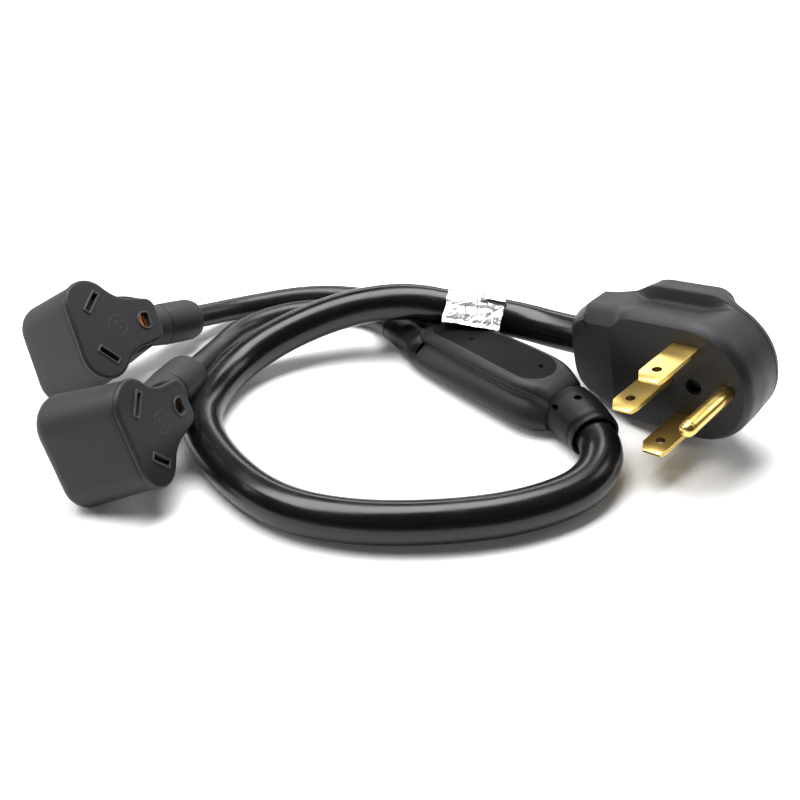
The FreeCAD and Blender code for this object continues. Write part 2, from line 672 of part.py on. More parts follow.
def splices():
    """Crimp sleeves that join the thick cord's leads to the branch cords' leads."""
    rise = size("inner_sleeve_rise")
    height = size("junction_height")
    places = {"hot_front": ("-hot_sleeve_offset", "junction_height"),
              "hot_rear": ("hot_sleeve_offset", "junction_height"),
              "neutral": ("inner_sleeve_offset", "junction_height + inner_sleeve_rise"),
              "ground": ("-inner_sleeve_offset", "junction_height - inner_sleeve_rise")}
    for key, (y, z) in places.items():
        sleeve = rod(key + "_sleeve", "sleeve_radius", "2 * sleeve_half_length", ("-sleeve_half_length", y, z), ALONG_X)
        bore = rod(key + "_sleeve_bore", "sleeve_bore", "sleeve_half_length + 1", ("0", y, z), ALONG_X)
        add_part(placed(cut(key + "_splice", sleeve, bore), "junction"), "splice_" + key)


def junction_leads():
    height = size("junction_height")
    rise = size("inner_sleeve_rise")
    inner = size("inner_sleeve_offset")
    hot = size("hot_sleeve_offset")
    half = size("sleeve_half_length")
    jacket_end = size("junction_right") - size("inlet_jacket_inset") - size("lead_gap") - 1.0
    inside = half - size("sleeve_grip")
    bundle = 2.7
    targets = {"black": (-bundle, bundle, -hot, 0.0), "red": (bundle, -bundle, hot, 0.0),
               "white": (bundle, bundle, inner, rise), "green": (-bundle, -bundle, -inner, -rise)}
    for colour, (y, dz, sleeve_y, sleeve_dz) in targets.items():
        points = [(jacket_end, y, height + dz), (jacket_end - 8, y, height + dz),
                  (half + 5, sleeve_y, height + sleeve_dz), (inside, sleeve_y, height + sleeve_dz)]
        lead("junction_lead_" + colour, "junction", points, size("main_lead_radius"))
    pair = 1.65
    inset = size("branch_jacket_inset")
    splay = math.radians(size("branch_splay"))
    start_x = size("junction_left") + (inset + size("lead_gap")) * math.cos(splay) + 0.6
    for key, side in (("front", -1), ("rear", 1)):
        y = side * size("branch_spread") - (inset + size("lead_gap")) * math.sin(splay)
        low = size("junction_low_height") + 0.1
        ends = {"white": (y, low + 2.0), "black": (y + side * 1.8, low - 1.0), "green": (y - side * 1.8, low - 1.0)}
        sleeves = {"white": (inner, height + rise + side * pair), "black": (side * hot, height),
                   "green": (-inner, height - rise + side * pair)}
        for colour in ("black", "white", "green"):
            end_y, end_z = ends[colour]
            sleeve_y, sleeve_z = sleeves[colour]
            points = [(start_x, end_y, end_z), (start_x + 3.5, end_y, end_z + 0.2),
                      (-half - 3.5, sleeve_y, sleeve_z), (-half - 0.1, sleeve_y, sleeve_z)]
            lead("junction_lead_%s_%s" % (key, colour), "junction", points, size("branch_lead_radius"))


# ---------------------------------------------------------------- connectors

def three_lobes(name, grow, z_from, z_to, ground_z_to):
    """The connector's outline: two lobes, a web with concave sides and a ground end."""
    depth = "%s - (%s)" % (z_to, z_from)
    lobes = [rod("%s_lobe_%s" % (name, key), "lobe_radius + (%s)" % grow, depth, ("lobe_back", y, z_from))
             for key, y in (("one", "-lobe_side"), ("two", "lobe_side"))]
    middle = block(name + "_middle", "lobe_back - lobe_radius - (%s)" % grow, "4", "lobe_side", z_from, z_to)
    web = block(name + "_web", "lobe_back", "waist_x", "web_half_width + (%s)" % grow, z_from, z_to)
    waists = [rod("%s_waist_%s" % (name, key), "waist_radius - (%s)" % grow, depth + " + 2",
                  ("waist_x", y, z_from + " - 1")) for key, y in (("one", "-waist_y"), ("two", "waist_y"))]
    trimmed = cut(name + "_web_cut", web, *waists)
    end = block(name + "_end", "12", "ground_end + (%s)" % grow, "ground_half_width + (%s)" % grow,
                z_from, ground_z_to)
    doc.recompute()
    far = end.Shape.BoundBox.XMax - 1.0
    rounding = doc.addObject("Part::Fillet", name + "_end_round")
    rounding.Base = end
    radius = size("ground_round")
    upright = [number for number in edges_where(end.Shape, lambda p: p.x > far)
               if end.Shape.Edges[number - 1].tangentAt(0).cross(Vector(0, 0, 1)).Length < 1e-6]
    rounding.Edges = [(number, radius, radius) for number in upright]
    return fuse(name, *lobes, middle, trimmed, rounding)


def turned_slot(name, y, turn, grow, z_from, z_to):
    """A box of a slot's size, grown all round, turned about the slot's middle."""
    long_side = "slot_length + 2 * (%s)" % grow
    short_side = "slot_width + 2 * (%s)" % grow
    tool = bound("Part::Box", name, {"Length": long_side, "Width": short_side, "Height": "%s - (%s)" % (z_to, z_from)})
    half_long = size("slot_length") / 2 + cell_value(grow)
    half_short = size("slot_width") / 2 + cell_value(grow)
    rotation = Rotation(Vector(0, 0, 1), turn)
    corner = rotation.multVec(Vector(-half_long, -half_short, 0))
    tool.Placement = Placement(corner + Vector(0, cell_value(y), cell_value(z_from)), rotation)
    return tool


def cell_value(expression):
    """The value of a sum of aliases and numbers."""
    total = 0.0
    for sign, term in re.findall(r"([+-]?)\s*([a-z_]+|[0-9.]+)", expression):
        value = size(term) if term in ALIASES else float(term)
        total += -value if sign == "-" else value
    return total


def d_hole(name, grow, z_from, z_to):
    """Round hole with one flat side, away from the slots."""
    depth = "%s - (%s)" % (z_to, z_from)
    circle = rod(name + "_round", "ground_hole_radius + (%s)" % grow, depth, ("ground_hole_x", "0", z_from))
    keep = block(name + "_keep", "ground_hole_x - 10", "ground_hole_x + ground_flat + (%s)" % grow, "10", z_from, z_to)
    common = doc.addObject("Part::Common", name)
    common.Base = circle
    common.Tool = keep
    return common


SLOT_TURNS = (("hot", "-slot_pitch", -45.0), ("neutral", "slot_pitch", 45.0))


def connector_face(side):
    name = side + "_face"
    plate = three_lobes(name + "_plate", "face_lip", "0", "face_thickness", "face_thickness")
    rims = [turned_slot("%s_rim_%s" % (name, key), y, turn, "rim_width", "-rim_height", "1")
            for key, y, turn in SLOT_TURNS]
    rims.append(d_hole(name + "_rim_ground", "rim_width", "-rim_height", "1"))
    holes = [turned_slot("%s_slot_%s" % (name, key), y, turn, "0", "-1", "face_thickness + 1")
             for key, y, turn in SLOT_TURNS]
    holes.append(d_hole(name + "_hole_ground", "0", "-1", "face_thickness + 1"))
    face = cut(name + "_solid", fuse(name + "_mass", plate, *rims), *holes)
    add_part(placed(face, side), side + "_connector_face")


def connector_body(side, route):
    name = side + "_body"
    wall = "-connector_wall"
    back = size("connector_depth")
    outside = rounded(name + "_rounded",
                      three_lobes(name + "_outside", "0", "face_thickness", "connector_depth", "ground_depth"),
                      size("back_round"), lambda p: abs(p.z - back) < 1e-6)
    neck = rod(name + "_neck", "neck_radius", "neck_end - 15", ("15", "0", "cord_axis_depth"), ALONG_X)
    inside = three_lobes(name + "_inside", wall, "face_thickness - 1", "connector_depth - connector_wall",
                         "ground_depth - connector_wall")
    lead_way = rod(name + "_lead_way", "branch_cord_radius - 1", "18", ("26", "0", "cord_axis_depth"), ALONG_X)
    hollow = cut(name + "_hollow", fuse(name + "_mass", outside, neck), inside, lead_way)
    bore = end_rod(name + "_bore", route, size("branch_cord_radius") + size("bore_gap"), True, -0.1, 12.0)
    add_part(cut(name + "_solid", placed(hollow, side), bore), side + "_connector_body")


def connector_collar(side, route):
    name = side + "_collar"
    sleeve = rod(name + "_sleeve", "collar_radius", "collar_end - neck_end - collar_lip",
                 ("neck_end", "0", "cord_axis_depth"), ALONG_X)
    lip = rod(name + "_lip", "collar_radius - 0.6", "collar_lip", ("collar_end - collar_lip", "0", "cord_axis_depth"), ALONG_X)
    bore = shaped(name + "_bore", tube(route, size("branch_cord_radius") + size("bore_gap"), 0.0, 34.0))
    add_part(cut(name + "_solid", placed(fuse(name + "_mass", sleeve, lip), side), bore),
             side + "_connector_collar")


def connector_contacts(side):
    for key, y, turn in SLOT_TURNS:
        name = "%s_%s_contact" % (side, key)
        box = turned_slot(name + "_box", y, turn, "contact_wall", "contact_start", "contact_back")
        gap = turned_slot(name + "_gap", y, turn, "0", "contact_start - 1", "contact_back - 2")
        start = ("2", y, "small_barrel_depth")
        barrel = rod(name + "_barrel", "small_barrel_radius", "small_barrel_length", start, ALONG_X)
        tab = block(name + "_tab", "0", "4", "contact_wall * 2", "contact_back - 1.5", "small_barrel_depth - 1.7", y)
        bore = rod(name + "_bore", "small_barrel_bore", "small_barrel_length - 1", ("3.1", y, "small_barrel_depth"), ALONG_X)
        contact = cut(name + "_solid", fuse(name + "_mass", box, barrel, tab), gap, bore)
        add_part(placed(contact, side), "%s_connector_%s_contact" % (side, key))
    name = side + "_ground_contact"
    sleeve = rod(name + "_sleeve", "ground_hole_radius + contact_wall", "contact_back - contact_start + 0.7",
                 ("ground_hole_x", "0", "contact_start"))
    hole = rod(name + "_hole", "ground_hole_radius", "contact_back - contact_start - 1",
               ("ground_hole_x", "0", "contact_start - 1"))
    slit = block(name + "_slit", "ground_hole_x - 5", "ground_hole_x + 5", "0.4", "contact_start - 1", "contact_back - 5")
    barrel = rod(name + "_barrel", "small_barrel_radius", "small_barrel_length",
                 ("ground_hole_x - 4.5", "0", "small_barrel_depth"), ALONG_X)
    bore = rod(name + "_bore", "small_barrel_bore", "small_barrel_length - 1",
               ("ground_hole_x - 3.9", "0", "small_barrel_depth"), ALONG_X)
    contact = cut(name + "_solid", fuse(name + "_mass", sleeve, barrel), hole, slit, bore)
    add_part(placed(contact, side), side + "_connector_ground_contact")


def connector_leads(side):
    start = size("jacket_end_in_connector") - size("lead_gap")
    axis = size("cord_axis_depth")
    mouth = size("small_barrel_depth")
    pitch = size("slot_pitch")
    end = 2 + size("small_barrel_length") - 3
    ground_end = size("ground_hole_x") - 5 + size("small_barrel_length") - 3
    for colour, sign in (("black", -1), ("white", 1)):
        points = [(start, sign * 1.9, axis - 1.2), (start - 7, sign * 1.9, axis - 1.2),
                  (28, sign * 5.4, axis), (20, sign * 7.6, mouth), (14, sign * pitch, mouth),
                  (end, sign * pitch, mouth)]
        lead("%s_connector_lead_%s" % (side, colour), side, points, size("branch_lead_radius"))
    points = [(start, 0, axis + 2.0), (start - 7, 0, axis + 2.0), (30, 0, mouth), (ground_end, 0, mouth)]
    lead("%s_connector_lead_green" % side, side, points, size("branch_lead_radius"))


# ---------------------------------------------------------------- cords and label

def cords():
    for label, route, radius in (("main_cord", MAIN_ROUTE, size("main_cord_radius")),
                                 ("branch_cord_front", FRONT_ROUTE, size("branch_cord_radius")),
                                 ("branch_cord_rear", REAR_ROUTE, size("branch_cord_radius"))):
        add_part(shaped(label, tube(route, radius)), label)
        turns = [stretch for stretch in stretches(route) if isinstance(stretch, Turn)]
        print(label, "length %.1f" % route_length(route))
        print("  turn radii", " ".join("%.0f" % turn.radius for turn in turns))


def foil_label():
    start = size("label_start")
    end = start + size("label_length")
    radius = size("main_cord_radius") + size("slot_gap")
    outside = tube(MAIN_ROUTE, radius + size("label_thickness"), start, end)
    inside = tube(MAIN_ROUTE, radius, start - 1, end + 1)
    add_part(shaped("foil", outside.cut(inside)), "foil_label")


# ---------------------------------------------------------------- build, check, write

plug_overmould()
plug_carrier()
flat_blade("plug_hot_blade_upper", "0", "-hot_offset")
flat_blade("plug_hot_blade_lower", "0", "hot_offset")
flat_blade("plug_neutral_blade", "-neutral_offset", "0")
ground_pin()
plug_clip()
plug_leads()
junction_overmould()
inlet_boot()
branch_boots()
splices()
junction_leads()
for side, route in (("rear", REAR_ROUTE), ("front", FRONT_ROUTE)):
    connector_face(side)
    connector_body(side, route)
    connector_collar(side, route)
    connector_contacts(side)
    connector_leads(side)
cords()
foil_label()
doc.recompute()

for item in doc.Objects:
    if "Invalid" in item.State or "Error" in item.State:
        raise RuntimeError("%s did not build" % item.Label)
os.makedirs("parts", exist_ok=True)
for part in parts:
    shape = part.Shape
    if shape.isNull() or not shape.isValid() or not shape.Solids:
        raise RuntimeError("%s has no valid solid" % part.Label)
    shape.exportStep("parts/%s.step" % part.Label)
print(len(parts), "parts written")
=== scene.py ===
import bpy
import bmesh
import json
import math
from mathutils import Matrix, Vector, noise

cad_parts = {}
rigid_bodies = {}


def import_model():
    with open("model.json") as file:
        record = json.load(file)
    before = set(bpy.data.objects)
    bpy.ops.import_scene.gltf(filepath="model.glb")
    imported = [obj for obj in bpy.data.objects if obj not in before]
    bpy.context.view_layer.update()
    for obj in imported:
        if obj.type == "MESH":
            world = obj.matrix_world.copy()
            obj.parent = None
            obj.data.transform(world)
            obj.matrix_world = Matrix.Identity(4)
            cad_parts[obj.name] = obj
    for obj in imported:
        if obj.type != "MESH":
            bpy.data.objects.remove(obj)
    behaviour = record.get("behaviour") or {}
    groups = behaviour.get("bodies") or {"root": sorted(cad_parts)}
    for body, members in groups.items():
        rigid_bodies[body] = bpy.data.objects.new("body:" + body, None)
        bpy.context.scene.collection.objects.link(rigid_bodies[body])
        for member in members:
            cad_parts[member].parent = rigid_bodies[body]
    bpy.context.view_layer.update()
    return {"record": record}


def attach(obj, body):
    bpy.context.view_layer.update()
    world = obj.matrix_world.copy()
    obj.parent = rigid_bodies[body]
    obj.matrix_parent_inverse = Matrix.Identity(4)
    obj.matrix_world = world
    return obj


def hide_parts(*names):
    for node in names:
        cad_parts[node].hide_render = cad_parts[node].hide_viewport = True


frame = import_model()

MM = 0.001
UP = Vector((0, 0, 1))
ORIGIN = Vector((-7.334, -8.646, 0.0))      # the point of the layout that becomes the origin
scene = bpy.context.scene


# ---------------------------------------------------------------- camera and light

def camera():
    data = bpy.data.cameras.new("camera")
    data.lens = 44.0
    data.sensor_width = 36.0
    data.clip_start = 0.01
    obj = bpy.data.objects.new("camera", data)
    obj.location = (Vector((0.0, -369.75, 257.9)) - ORIGIN) * MM
    obj.rotation_euler = (math.radians(90 - 34.894), 0, 0)
    scene.collection.objects.link(obj)
    scene.camera = obj


def area_light(name, place, target, size, power):
    data = bpy.data.lights.new(name, "AREA")
    data.shape = "RECTANGLE"
    data.size, data.size_y = size
    data.energy = power
    obj = bpy.data.objects.new(name, data)
    obj.location = place
    obj.rotation_euler = (Vector(target) - Vector(place)).to_track_quat("-Z", "Y").to_euler()
    scene.collection.objects.link(obj)


def light():
    world = bpy.data.worlds.new("studio")
    world.use_nodes = True
    world.node_tree.nodes["Background"].inputs["Color"].default_value = (1, 1, 1, 1)
    world.node_tree.nodes["Background"].inputs["Strength"].default_value = 0.04
    scene.world = world
    area_light("softbox_top", (-0.12, 0.18, 0.9), (0, 0, 0), (1.2, 0.55), 23.0)
    area_light("softbox_left", (-0.9, 0.1, 0.5), (0, 0, 0.02), (0.4, 0.4), 3.0)
    area_light("softbox_right", (0.9, 0.3, 0.6), (0, 0, 0.02), (0.4, 0.4), 2.0)
    area_light("strip_back", (0.2, 0.9, 0.42), (0, 0, 0.03), (1.5, 0.16), 4.0)


# ---------------------------------------------------------------- materials

class Nodes:
    """A material's node tree, with short calls to add nodes and links."""

    def __init__(self, name):
        self.material = bpy.data.materials.new(name)
        self.material.use_nodes = True
        self.tree = self.material.node_tree
        self.shader = self.tree.nodes["Principled BSDF"]

    def add(self, kind, links=(), **settings):
        node = self.tree.nodes.new("ShaderNode" + kind)
        for key, value in settings.items():
            if hasattr(node, key):
                setattr(node, key, value)
            else:
                node.inputs[key.replace("_", " ")].default_value = value
        for socket, source in links:
            self.tree.links.new(source, node.inputs[socket])
        return node

    def set(self, **values):
        for key, value in values.items():
            self.shader.inputs[key.replace("_", " ")].default_value = value

    def link(self, source, socket):
        self.tree.links.new(source, self.shader.inputs[socket])

    def place(self, scale, output="Object"):
        coordinates = self.add("TexCoord")
        mapping = self.add("Mapping", [("Vector", coordinates.outputs[output])], Scale=scale)
        return mapping.outputs["Vector"]

    def noise(self, vector, scale, detail=4.0, roughness=0.55):
        node = self.add("TexNoise", [("Vector", vector)], Scale=scale, Detail=detail, Roughness=roughness)
        return node.outputs["Fac"]

    def remap(self, value, low, high, start=0.3, stop=0.7):
        """Map start..stop of a value to low..high."""
        node = self.add("MapRange", [("Value", value)])
        for key, number in zip(("From Min", "From Max", "To Min", "To Max"), (start, stop, low, high)):
            node.inputs[key].default_value = number
        return node.outputs["Result"]

    def mix(self, factor, first, second):
        node = self.add("Mix", [("Factor", factor)], data_type="RGBA")
        node.inputs["A"].default_value = (*first, 1)
        node.inputs["B"].default_value = (*second, 1)
        return node.outputs["Result"]

    def bump(self, height, distance, strength=1.0, below=None):
        links = [("Height", height)] + ([("Normal", below)] if below else [])
        return self.add("Bump", links, Distance=distance, Strength=strength).outputs["Normal"]


def shade(color, factor):
    return [min(c * factor, 1.0) for c in color]


def vinyl(name, color, roughness, grain=1.0, shine=0.32):
    """Moulded vinyl: fine spark-eroded grain, faint flow marks, uneven gloss and a little dust."""
    n = Nodes(name)
    metres = n.place((1, 1, 1))
    fine = n.noise(metres, 2600, 3.0, 0.6)
    flow = n.noise(metres, 60, 4.0)
    dust = n.remap(n.noise(metres, 900, 2.0), 0.0, 1.0, 0.66, 0.74)
    tone = n.mix(n.remap(flow, 0.0, 1.0), shade(color, 0.86), shade(color, 1.16))
    speck = n.add("Mix", [("Factor", dust), ("A", tone)], data_type="RGBA")
    speck.inputs["B"].default_value = (*shade(color, 1.9), 1)
    n.link(speck.outputs["Result"], "Base Color")
    n.link(n.remap(flow, roughness - 0.05, roughness + 0.07), "Roughness")
    swell = n.bump(flow, 0.0004, 0.25)
    n.link(n.bump(fine, 0.00007 * grain, 0.8, swell), "Normal")
    n.set(Specular_IOR_Level=shine)
    return n.material


def jacket(name, color, roughness, streaks):
    """Extruded jacket: gloss streaks and shallow lines along the cord."""
    n = Nodes(name)
    lines = n.noise(n.place((1.2, 9.0, 1.0), "UV"), 4.0, 3.0, 0.5)
    broad = n.noise(n.place((14.0, 3.0, 1.0), "UV"), 2.0, 2.0)
    metres = n.place((1, 1, 1))
    fine = n.noise(metres, 1500, 2.0)
    swell = n.noise(metres, 55, 2.0)
    tone = n.mix(n.remap(lines, 0.0, 1.0), shade(color, 0.85), shade(color, 1.2))
    n.link(tone, "Base Color")
    streak = n.remap(lines, -streaks, streaks)
    base = n.remap(broad, roughness - 0.04, roughness + 0.05)
    gloss = n.add("Math", [(0, streak), (1, base)], operation="ADD")
    n.link(gloss.outputs["Value"], "Roughness")
    ribs = n.bump(lines, 0.0003, 0.05)
    waves = n.bump(swell, 0.0008, 0.12, ribs)
    n.link(n.bump(fine, 0.00003, 0.4, waves), "Normal")
    n.set(Specular_IOR_Level=0.36)
    return n.material


def rolled_metal(name, color, roughness, grain_scale, dull):
    """Sheet metal with a faint rolling grain, and patches where it is duller."""
    n = Nodes(name)
    metres = n.place((1, 1, 1))
    grain = n.noise(n.place((1.0, 1.0, 9.0)), grain_scale, 3.0)
    patches = n.noise(metres, 130, 4.0)
    n.link(n.mix(n.remap(patches, 0.0, 1.0), color, dull), "Base Color")
    n.link(n.remap(patches, roughness, roughness + 0.06), "Roughness")
    n.link(n.bump(grain, 0.000004, 0.15), "Normal")
    n.set(Metallic=1.0)
    return n.material


def foil():
    """Creased thin aluminium foil."""
    n = Nodes("foil")
    metres = n.place((1, 1, 1))
    creases = n.add("TexVoronoi", [("Vector", metres)], feature="DISTANCE_TO_EDGE", Scale=95.0)
    sharp = n.remap(creases.outputs["Distance"], 0.0, 1.0, 0.0, 0.05)
    soft = n.noise(metres, 110, 3.0, 0.5)
    n.link(n.mix(n.remap(soft, 0.0, 1.0), (0.46, 0.47, 0.48), (0.62, 0.62, 0.63)), "Base Color")
    n.link(n.remap(soft, 0.30, 0.42), "Roughness")
    folds = n.bump(sharp, 0.0005, 0.5)
    n.link(n.bump(soft, 0.0016, 0.5, folds), "Normal")
    n.set(Metallic=0.75)
    return n.material


def insulation(name, color):
    """Coloured insulation of a single lead."""
    n = Nodes(name)
    cloud = n.noise(n.place((1, 1, 1)), 240, 3.0)
    n.link(n.mix(n.remap(cloud, 0.0, 1.0), shade(color, 0.85), shade(color, 1.1)), "Base Color")
    n.link(n.remap(cloud, 0.32, 0.45), "Roughness")
    return n.material


MATERIALS = {
    "thick_jacket": jacket("thick_jacket", (0.004, 0.004, 0.005), 0.23, 0.03),
    "branch_jacket": jacket("branch_jacket", (0.009, 0.009, 0.010), 0.33, 0.05),
    "plug_vinyl": vinyl("plug_vinyl", (0.015, 0.015, 0.017), 0.43, 2.4, 0.30),
    "junction_vinyl": vinyl("junction_vinyl", (0.011, 0.011, 0.012), 0.42, 2.0, 0.26),
    "junction_panel": vinyl("junction_panel", (0.005, 0.005, 0.006), 0.55, 3.5, 0.06),
    "boot_vinyl": vinyl("boot_vinyl", (0.005, 0.005, 0.006), 0.38, 1.0, 0.14),
    "collar_vinyl": vinyl("collar_vinyl", (0.018, 0.018, 0.020), 0.50),
    "connector_vinyl": vinyl("connector_vinyl", (0.022, 0.022, 0.023), 0.56, 2.2),
    "face_vinyl": vinyl("face_vinyl", (0.015, 0.015, 0.017), 0.48),
    "face_rim": vinyl("face_rim", (0.045, 0.045, 0.047), 0.52),
    "carrier_resin": vinyl("carrier_resin", (0.03, 0.03, 0.03), 0.55),
    "brass": rolled_metal("brass", (0.90, 0.66, 0.22), 0.27, 420, (0.84, 0.57, 0.15)),
    # walls of the blades' holes: dark brass, a painted shade inside the holes
    "hole_wall_painted_shade": rolled_metal("hole_wall_painted_shade", (0.10, 0.05, 0.02), 0.55, 900, (0.05, 0.025, 0.012)),
    "copper": rolled_metal("copper", (0.33, 0.11, 0.04), 0.36, 700, (0.20, 0.06, 0.02)),
    "steel": rolled_metal("steel", (0.62, 0.62, 0.62), 0.34, 800, (0.52, 0.52, 0.53)),
    "tinned_copper": rolled_metal("tinned_copper", (0.78, 0.76, 0.72), 0.30, 800, (0.66, 0.62, 0.56)),
    "foil": foil(),
    "insulation_black": insulation("insulation_black", (0.015, 0.015, 0.015)),
    "insulation_red": insulation("insulation_red", (0.50, 0.02, 0.02)),
    "insulation_white": insulation("insulation_white", (0.78, 0.78, 0.75)),
    "insulation_green": insulation("insulation_green", (0.02, 0.28, 0.07)),
}


def dress_cad_nodes():
    """Give every CAD node the material of its slot."""
    for part in frame["record"]["subparts"]:
        node = bpy.data.objects[part["node"]]
        node.data.materials.clear()
        node.data.materials.append(MATERIALS[part["material_slot"]])


# ---------------------------------------------------------------- frames and meshes

WELD = 1e-4            # points closer than this become one
FLOOR_GAP = 0.02       # the lowest that a point may be above the floor


def pose(x, y, z, yaw, pitch, roll):
    """A moulding's frame, as the CAD places it, in millimetres."""
    turn = Matrix.Identity(4)
    for angle, axis in ((yaw, "Z"), (pitch, "Y"), (roll, "X")):
        turn = turn @ Matrix.Rotation(math.radians(angle), 4, axis)
    return Matrix.Translation(Vector((x, y, z)) - ORIGIN) @ turn


PLUG = pose(117.5, -37.8, 34.75, -43.3, -11.0, -87.6)
JUNCTION = pose(40.5, 10.9, 0.0, -45.57, 0.0, 0.0)
REAR = pose(-130.6, -2.2, 39.6, 50.8, 15.1, -126.7)
FRONT = pose(-95.8, -69.9, 33.6, 73.8, 9.1, -110.5)


def to_world(matrix):
    """From a moulding's frame in millimetres to the scene's metres."""
    return Matrix.Scale(MM, 4) @ matrix


def smoothstep(low, high, value):
    """0 at low, 1 at high, with a soft start and end."""
    t = min(max((value - low) / (high - low), 0.0), 1.0)
    return t * t * (3 - 2 * t)


def table(x, rows, column):
    """Read a column of a table of stations, with straight lines between its rows."""
    if x <= rows[0][0]:
        return rows[0][column]
    for before, after in zip(rows, rows[1:]):
        if x <= after[0]:
            t = (x - before[0]) / (after[0] - before[0])
            return before[column] + (after[column] - before[column]) * t
    return rows[-1][column]


def loft_into(bm, rings, cap_start=True, cap_end=True):
    """Quads between rings of equal length, with optional n-gon ends."""
    rows = [[bm.verts.new(point) for point in ring] for ring in rings]
    count = len(rows[0])
    for row, above in zip(rows, rows[1:]):
        for i in range(count):
            j = (i + 1) % count
            bm.faces.new((row[i], row[j], above[j], above[i]))
    if cap_start:
        bm.faces.new(rows[0][::-1])
    if cap_end:
        bm.faces.new(rows[-1])


def finish_piece(name, bm, matrix, slot, nodes=(), levels=0, split=None, look=None):
    """Turn a mesh in a moulding's frame into a piece with its place, material and CAD nodes.

    levels is for subdivision, split the angle in degrees of the sharp edges, and look a material
    other than the slot's own.
    """
    bmesh.ops.remove_doubles(bm, verts=bm.verts, dist=WELD)
    bmesh.ops.recalc_face_normals(bm, faces=bm.faces)
    bm.transform(to_world(matrix))
    for vertex in bm.verts:
        vertex.co.z = max(vertex.co.z, FLOOR_GAP * MM)
    mesh = bpy.data.meshes.new(name)
    bm.to_mesh(mesh)
    bm.free()
    obj = bpy.data.objects.new(name, mesh)
    scene.collection.objects.link(obj)
    mesh.materials.append(MATERIALS[look or slot])
    if levels:
        modifier = obj.modifiers.new("smooth", "SUBSURF")
        modifier.levels = modifier.render_levels = levels
    for polygon in mesh.polygons:
        polygon.use_smooth = True
    if split is not None:
        mesh.set_sharp_from_angle(angle=math.radians(split))
    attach(obj, "root")
    if nodes:
        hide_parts(*nodes)
    return obj


def applied(obj):
    """The mesh of an object after its modifiers."""
    graph = bpy.context.evaluated_depsgraph_get()
    return bpy.data.meshes.new_from_object(obj.evaluated_get(graph))


def carve(obj, cutters, inner=None):
    """Cut closed meshes out of a piece, and drop the cutters; inner is the material of the cut walls."""
    if inner:
        obj.data.materials.append(MATERIALS[inner])
    for bm in cutters:
        mesh = bpy.data.meshes.new("cutter")
        bmesh.ops.recalc_face_normals(bm, faces=bm.faces)
        for face in bm.faces:
            face.material_index = 1 if inner else 0
        bm.to_mesh(mesh)
        bm.free()
        if inner:
            mesh.materials.append(obj.data.materials[0])
            mesh.materials.append(MATERIALS[inner])
        tool = bpy.data.objects.new("cutter", mesh)
        scene.collection.objects.link(tool)
        modifier = obj.modifiers.new("cut", "BOOLEAN")
        modifier.operation = "DIFFERENCE"
        modifier.solver = "EXACT"
        modifier.object = tool
        result = applied(obj)
        obj.modifiers.clear()
        obj.data = result
        bpy.data.objects.remove(tool)


def turns_of(count):
    """Angles of equal steps once round."""
    return [2 * math.pi * i / count for i in range(count)]


def circle(radius, cx=0.0, cy=0.0, count=40):
    return [(cx + radius * math.cos(a), cy + radius * math.sin(a)) for a in turns_of(count)]


def rounded_box(width, height, radius, cx=0.0, cy=0.0, turn=0.0, steps=6):
    """Outline of a box with rounded corners."""
    points = []
    for quarter, (sx, sy) in enumerate(((1, 1), (-1, 1), (-1, -1), (1, -1))):
        for i in range(steps + 1):
            a = math.pi / 2 * (quarter + i / steps)
            points.append((sx * (width / 2 - radius) + radius * math.cos(a),
                           sy * (height / 2 - radius) + radius * math.sin(a)))
    c, s = math.cos(turn), math.sin(turn)
    return [(cx + x * c - y * s, cy + x * s + y * c) for x, y in points]


def at_height(points, z):
    """An outline in a moulding's XY plane as a ring at a height."""
    return [Vector((x, y, z)) for x, y in points]


def prism(points, low, high, matrix):
    """A closed prism on an outline in a moulding's XY plane, ready to cut with."""
    bm = bmesh.new()
    loft_into(bm, [at_height(points, z) for z in (low, high)])
    bm.transform(to_world(matrix))
    return bm


def lathe(bm, profile, matrix=Matrix(), turns=64):
    """Revolve (height along Z, radius) pairs."""
    loft_into(bm, [[matrix @ point for point in at_height(circle(radius, count=turns), z)]
                   for z, radius in profile])


# ---------------------------------------------------------------- cords

MAIN_ROUTE = [
    (94.0, 9.0, 26.0), (76.5, 25.0, 21.5), (55.0, 37.5, 21.5), (27.0, 40.5, 25.0),
    (2.5, 44.5, 28.0), (-24.5, 44.0, 24.0), (-51.0, 35.0, 17.5), (-73.0, 19.5, 11.0),
    (-85.5, -7.0, 9.0), (-86.5, -32.0, 9.0), (-72.0, -60.0, 9.0), (-49.5, -84.0, 9.0),
    (-21.0, -93.5, 9.0), (13.5, -94.0, 9.0), (48.0, -88.0, 9.0), (77.5, -71.5, 9.0),
    (86.0, -44.0, 12.0), (70.5, -21.0, 12.0),
]
FRONT_ROUTE = [
    (-100.5, -25.5, 20.5), (-93.5, -1.5, 16.0), (-87.5, 28.5, 9.0), (-79.5, 56.5, 5.8),
    (-51.5, 74.5, 5.8), (-19.5, 71.0, 5.8), (-1.5, 52.0, 8.2), (11.0, 29.5, 9.7),
]
REAR_ROUTE = [
    (-117.5, 37.0, 18.4), (-101.5, 56.5, 11.5), (-80.0, 77.5, 5.8), (-46.5, 90.0, 5.8),
    (-13.5, 85.5, 5.8), (8.5, 63.5, 8.2), (21.5, 40.0, 9.7),
]


def nurbs(name, route):
    """A smooth curve that follows a route's corners."""
    curve = bpy.data.curves.new(name, "CURVE")
    curve.dimensions = "3D"
    curve.resolution_u = 24
    spline = curve.splines.new("NURBS")
    spline.points.add(len(route) - 1)
    for point, place in zip(spline.points, route):
        point.co = (*((Vector(place) - ORIGIN) * MM), 1)
    spline.order_u = 3
    spline.use_endpoint_u = True
    obj = bpy.data.objects.new(name, curve)
    scene.collection.objects.link(obj)
    return obj


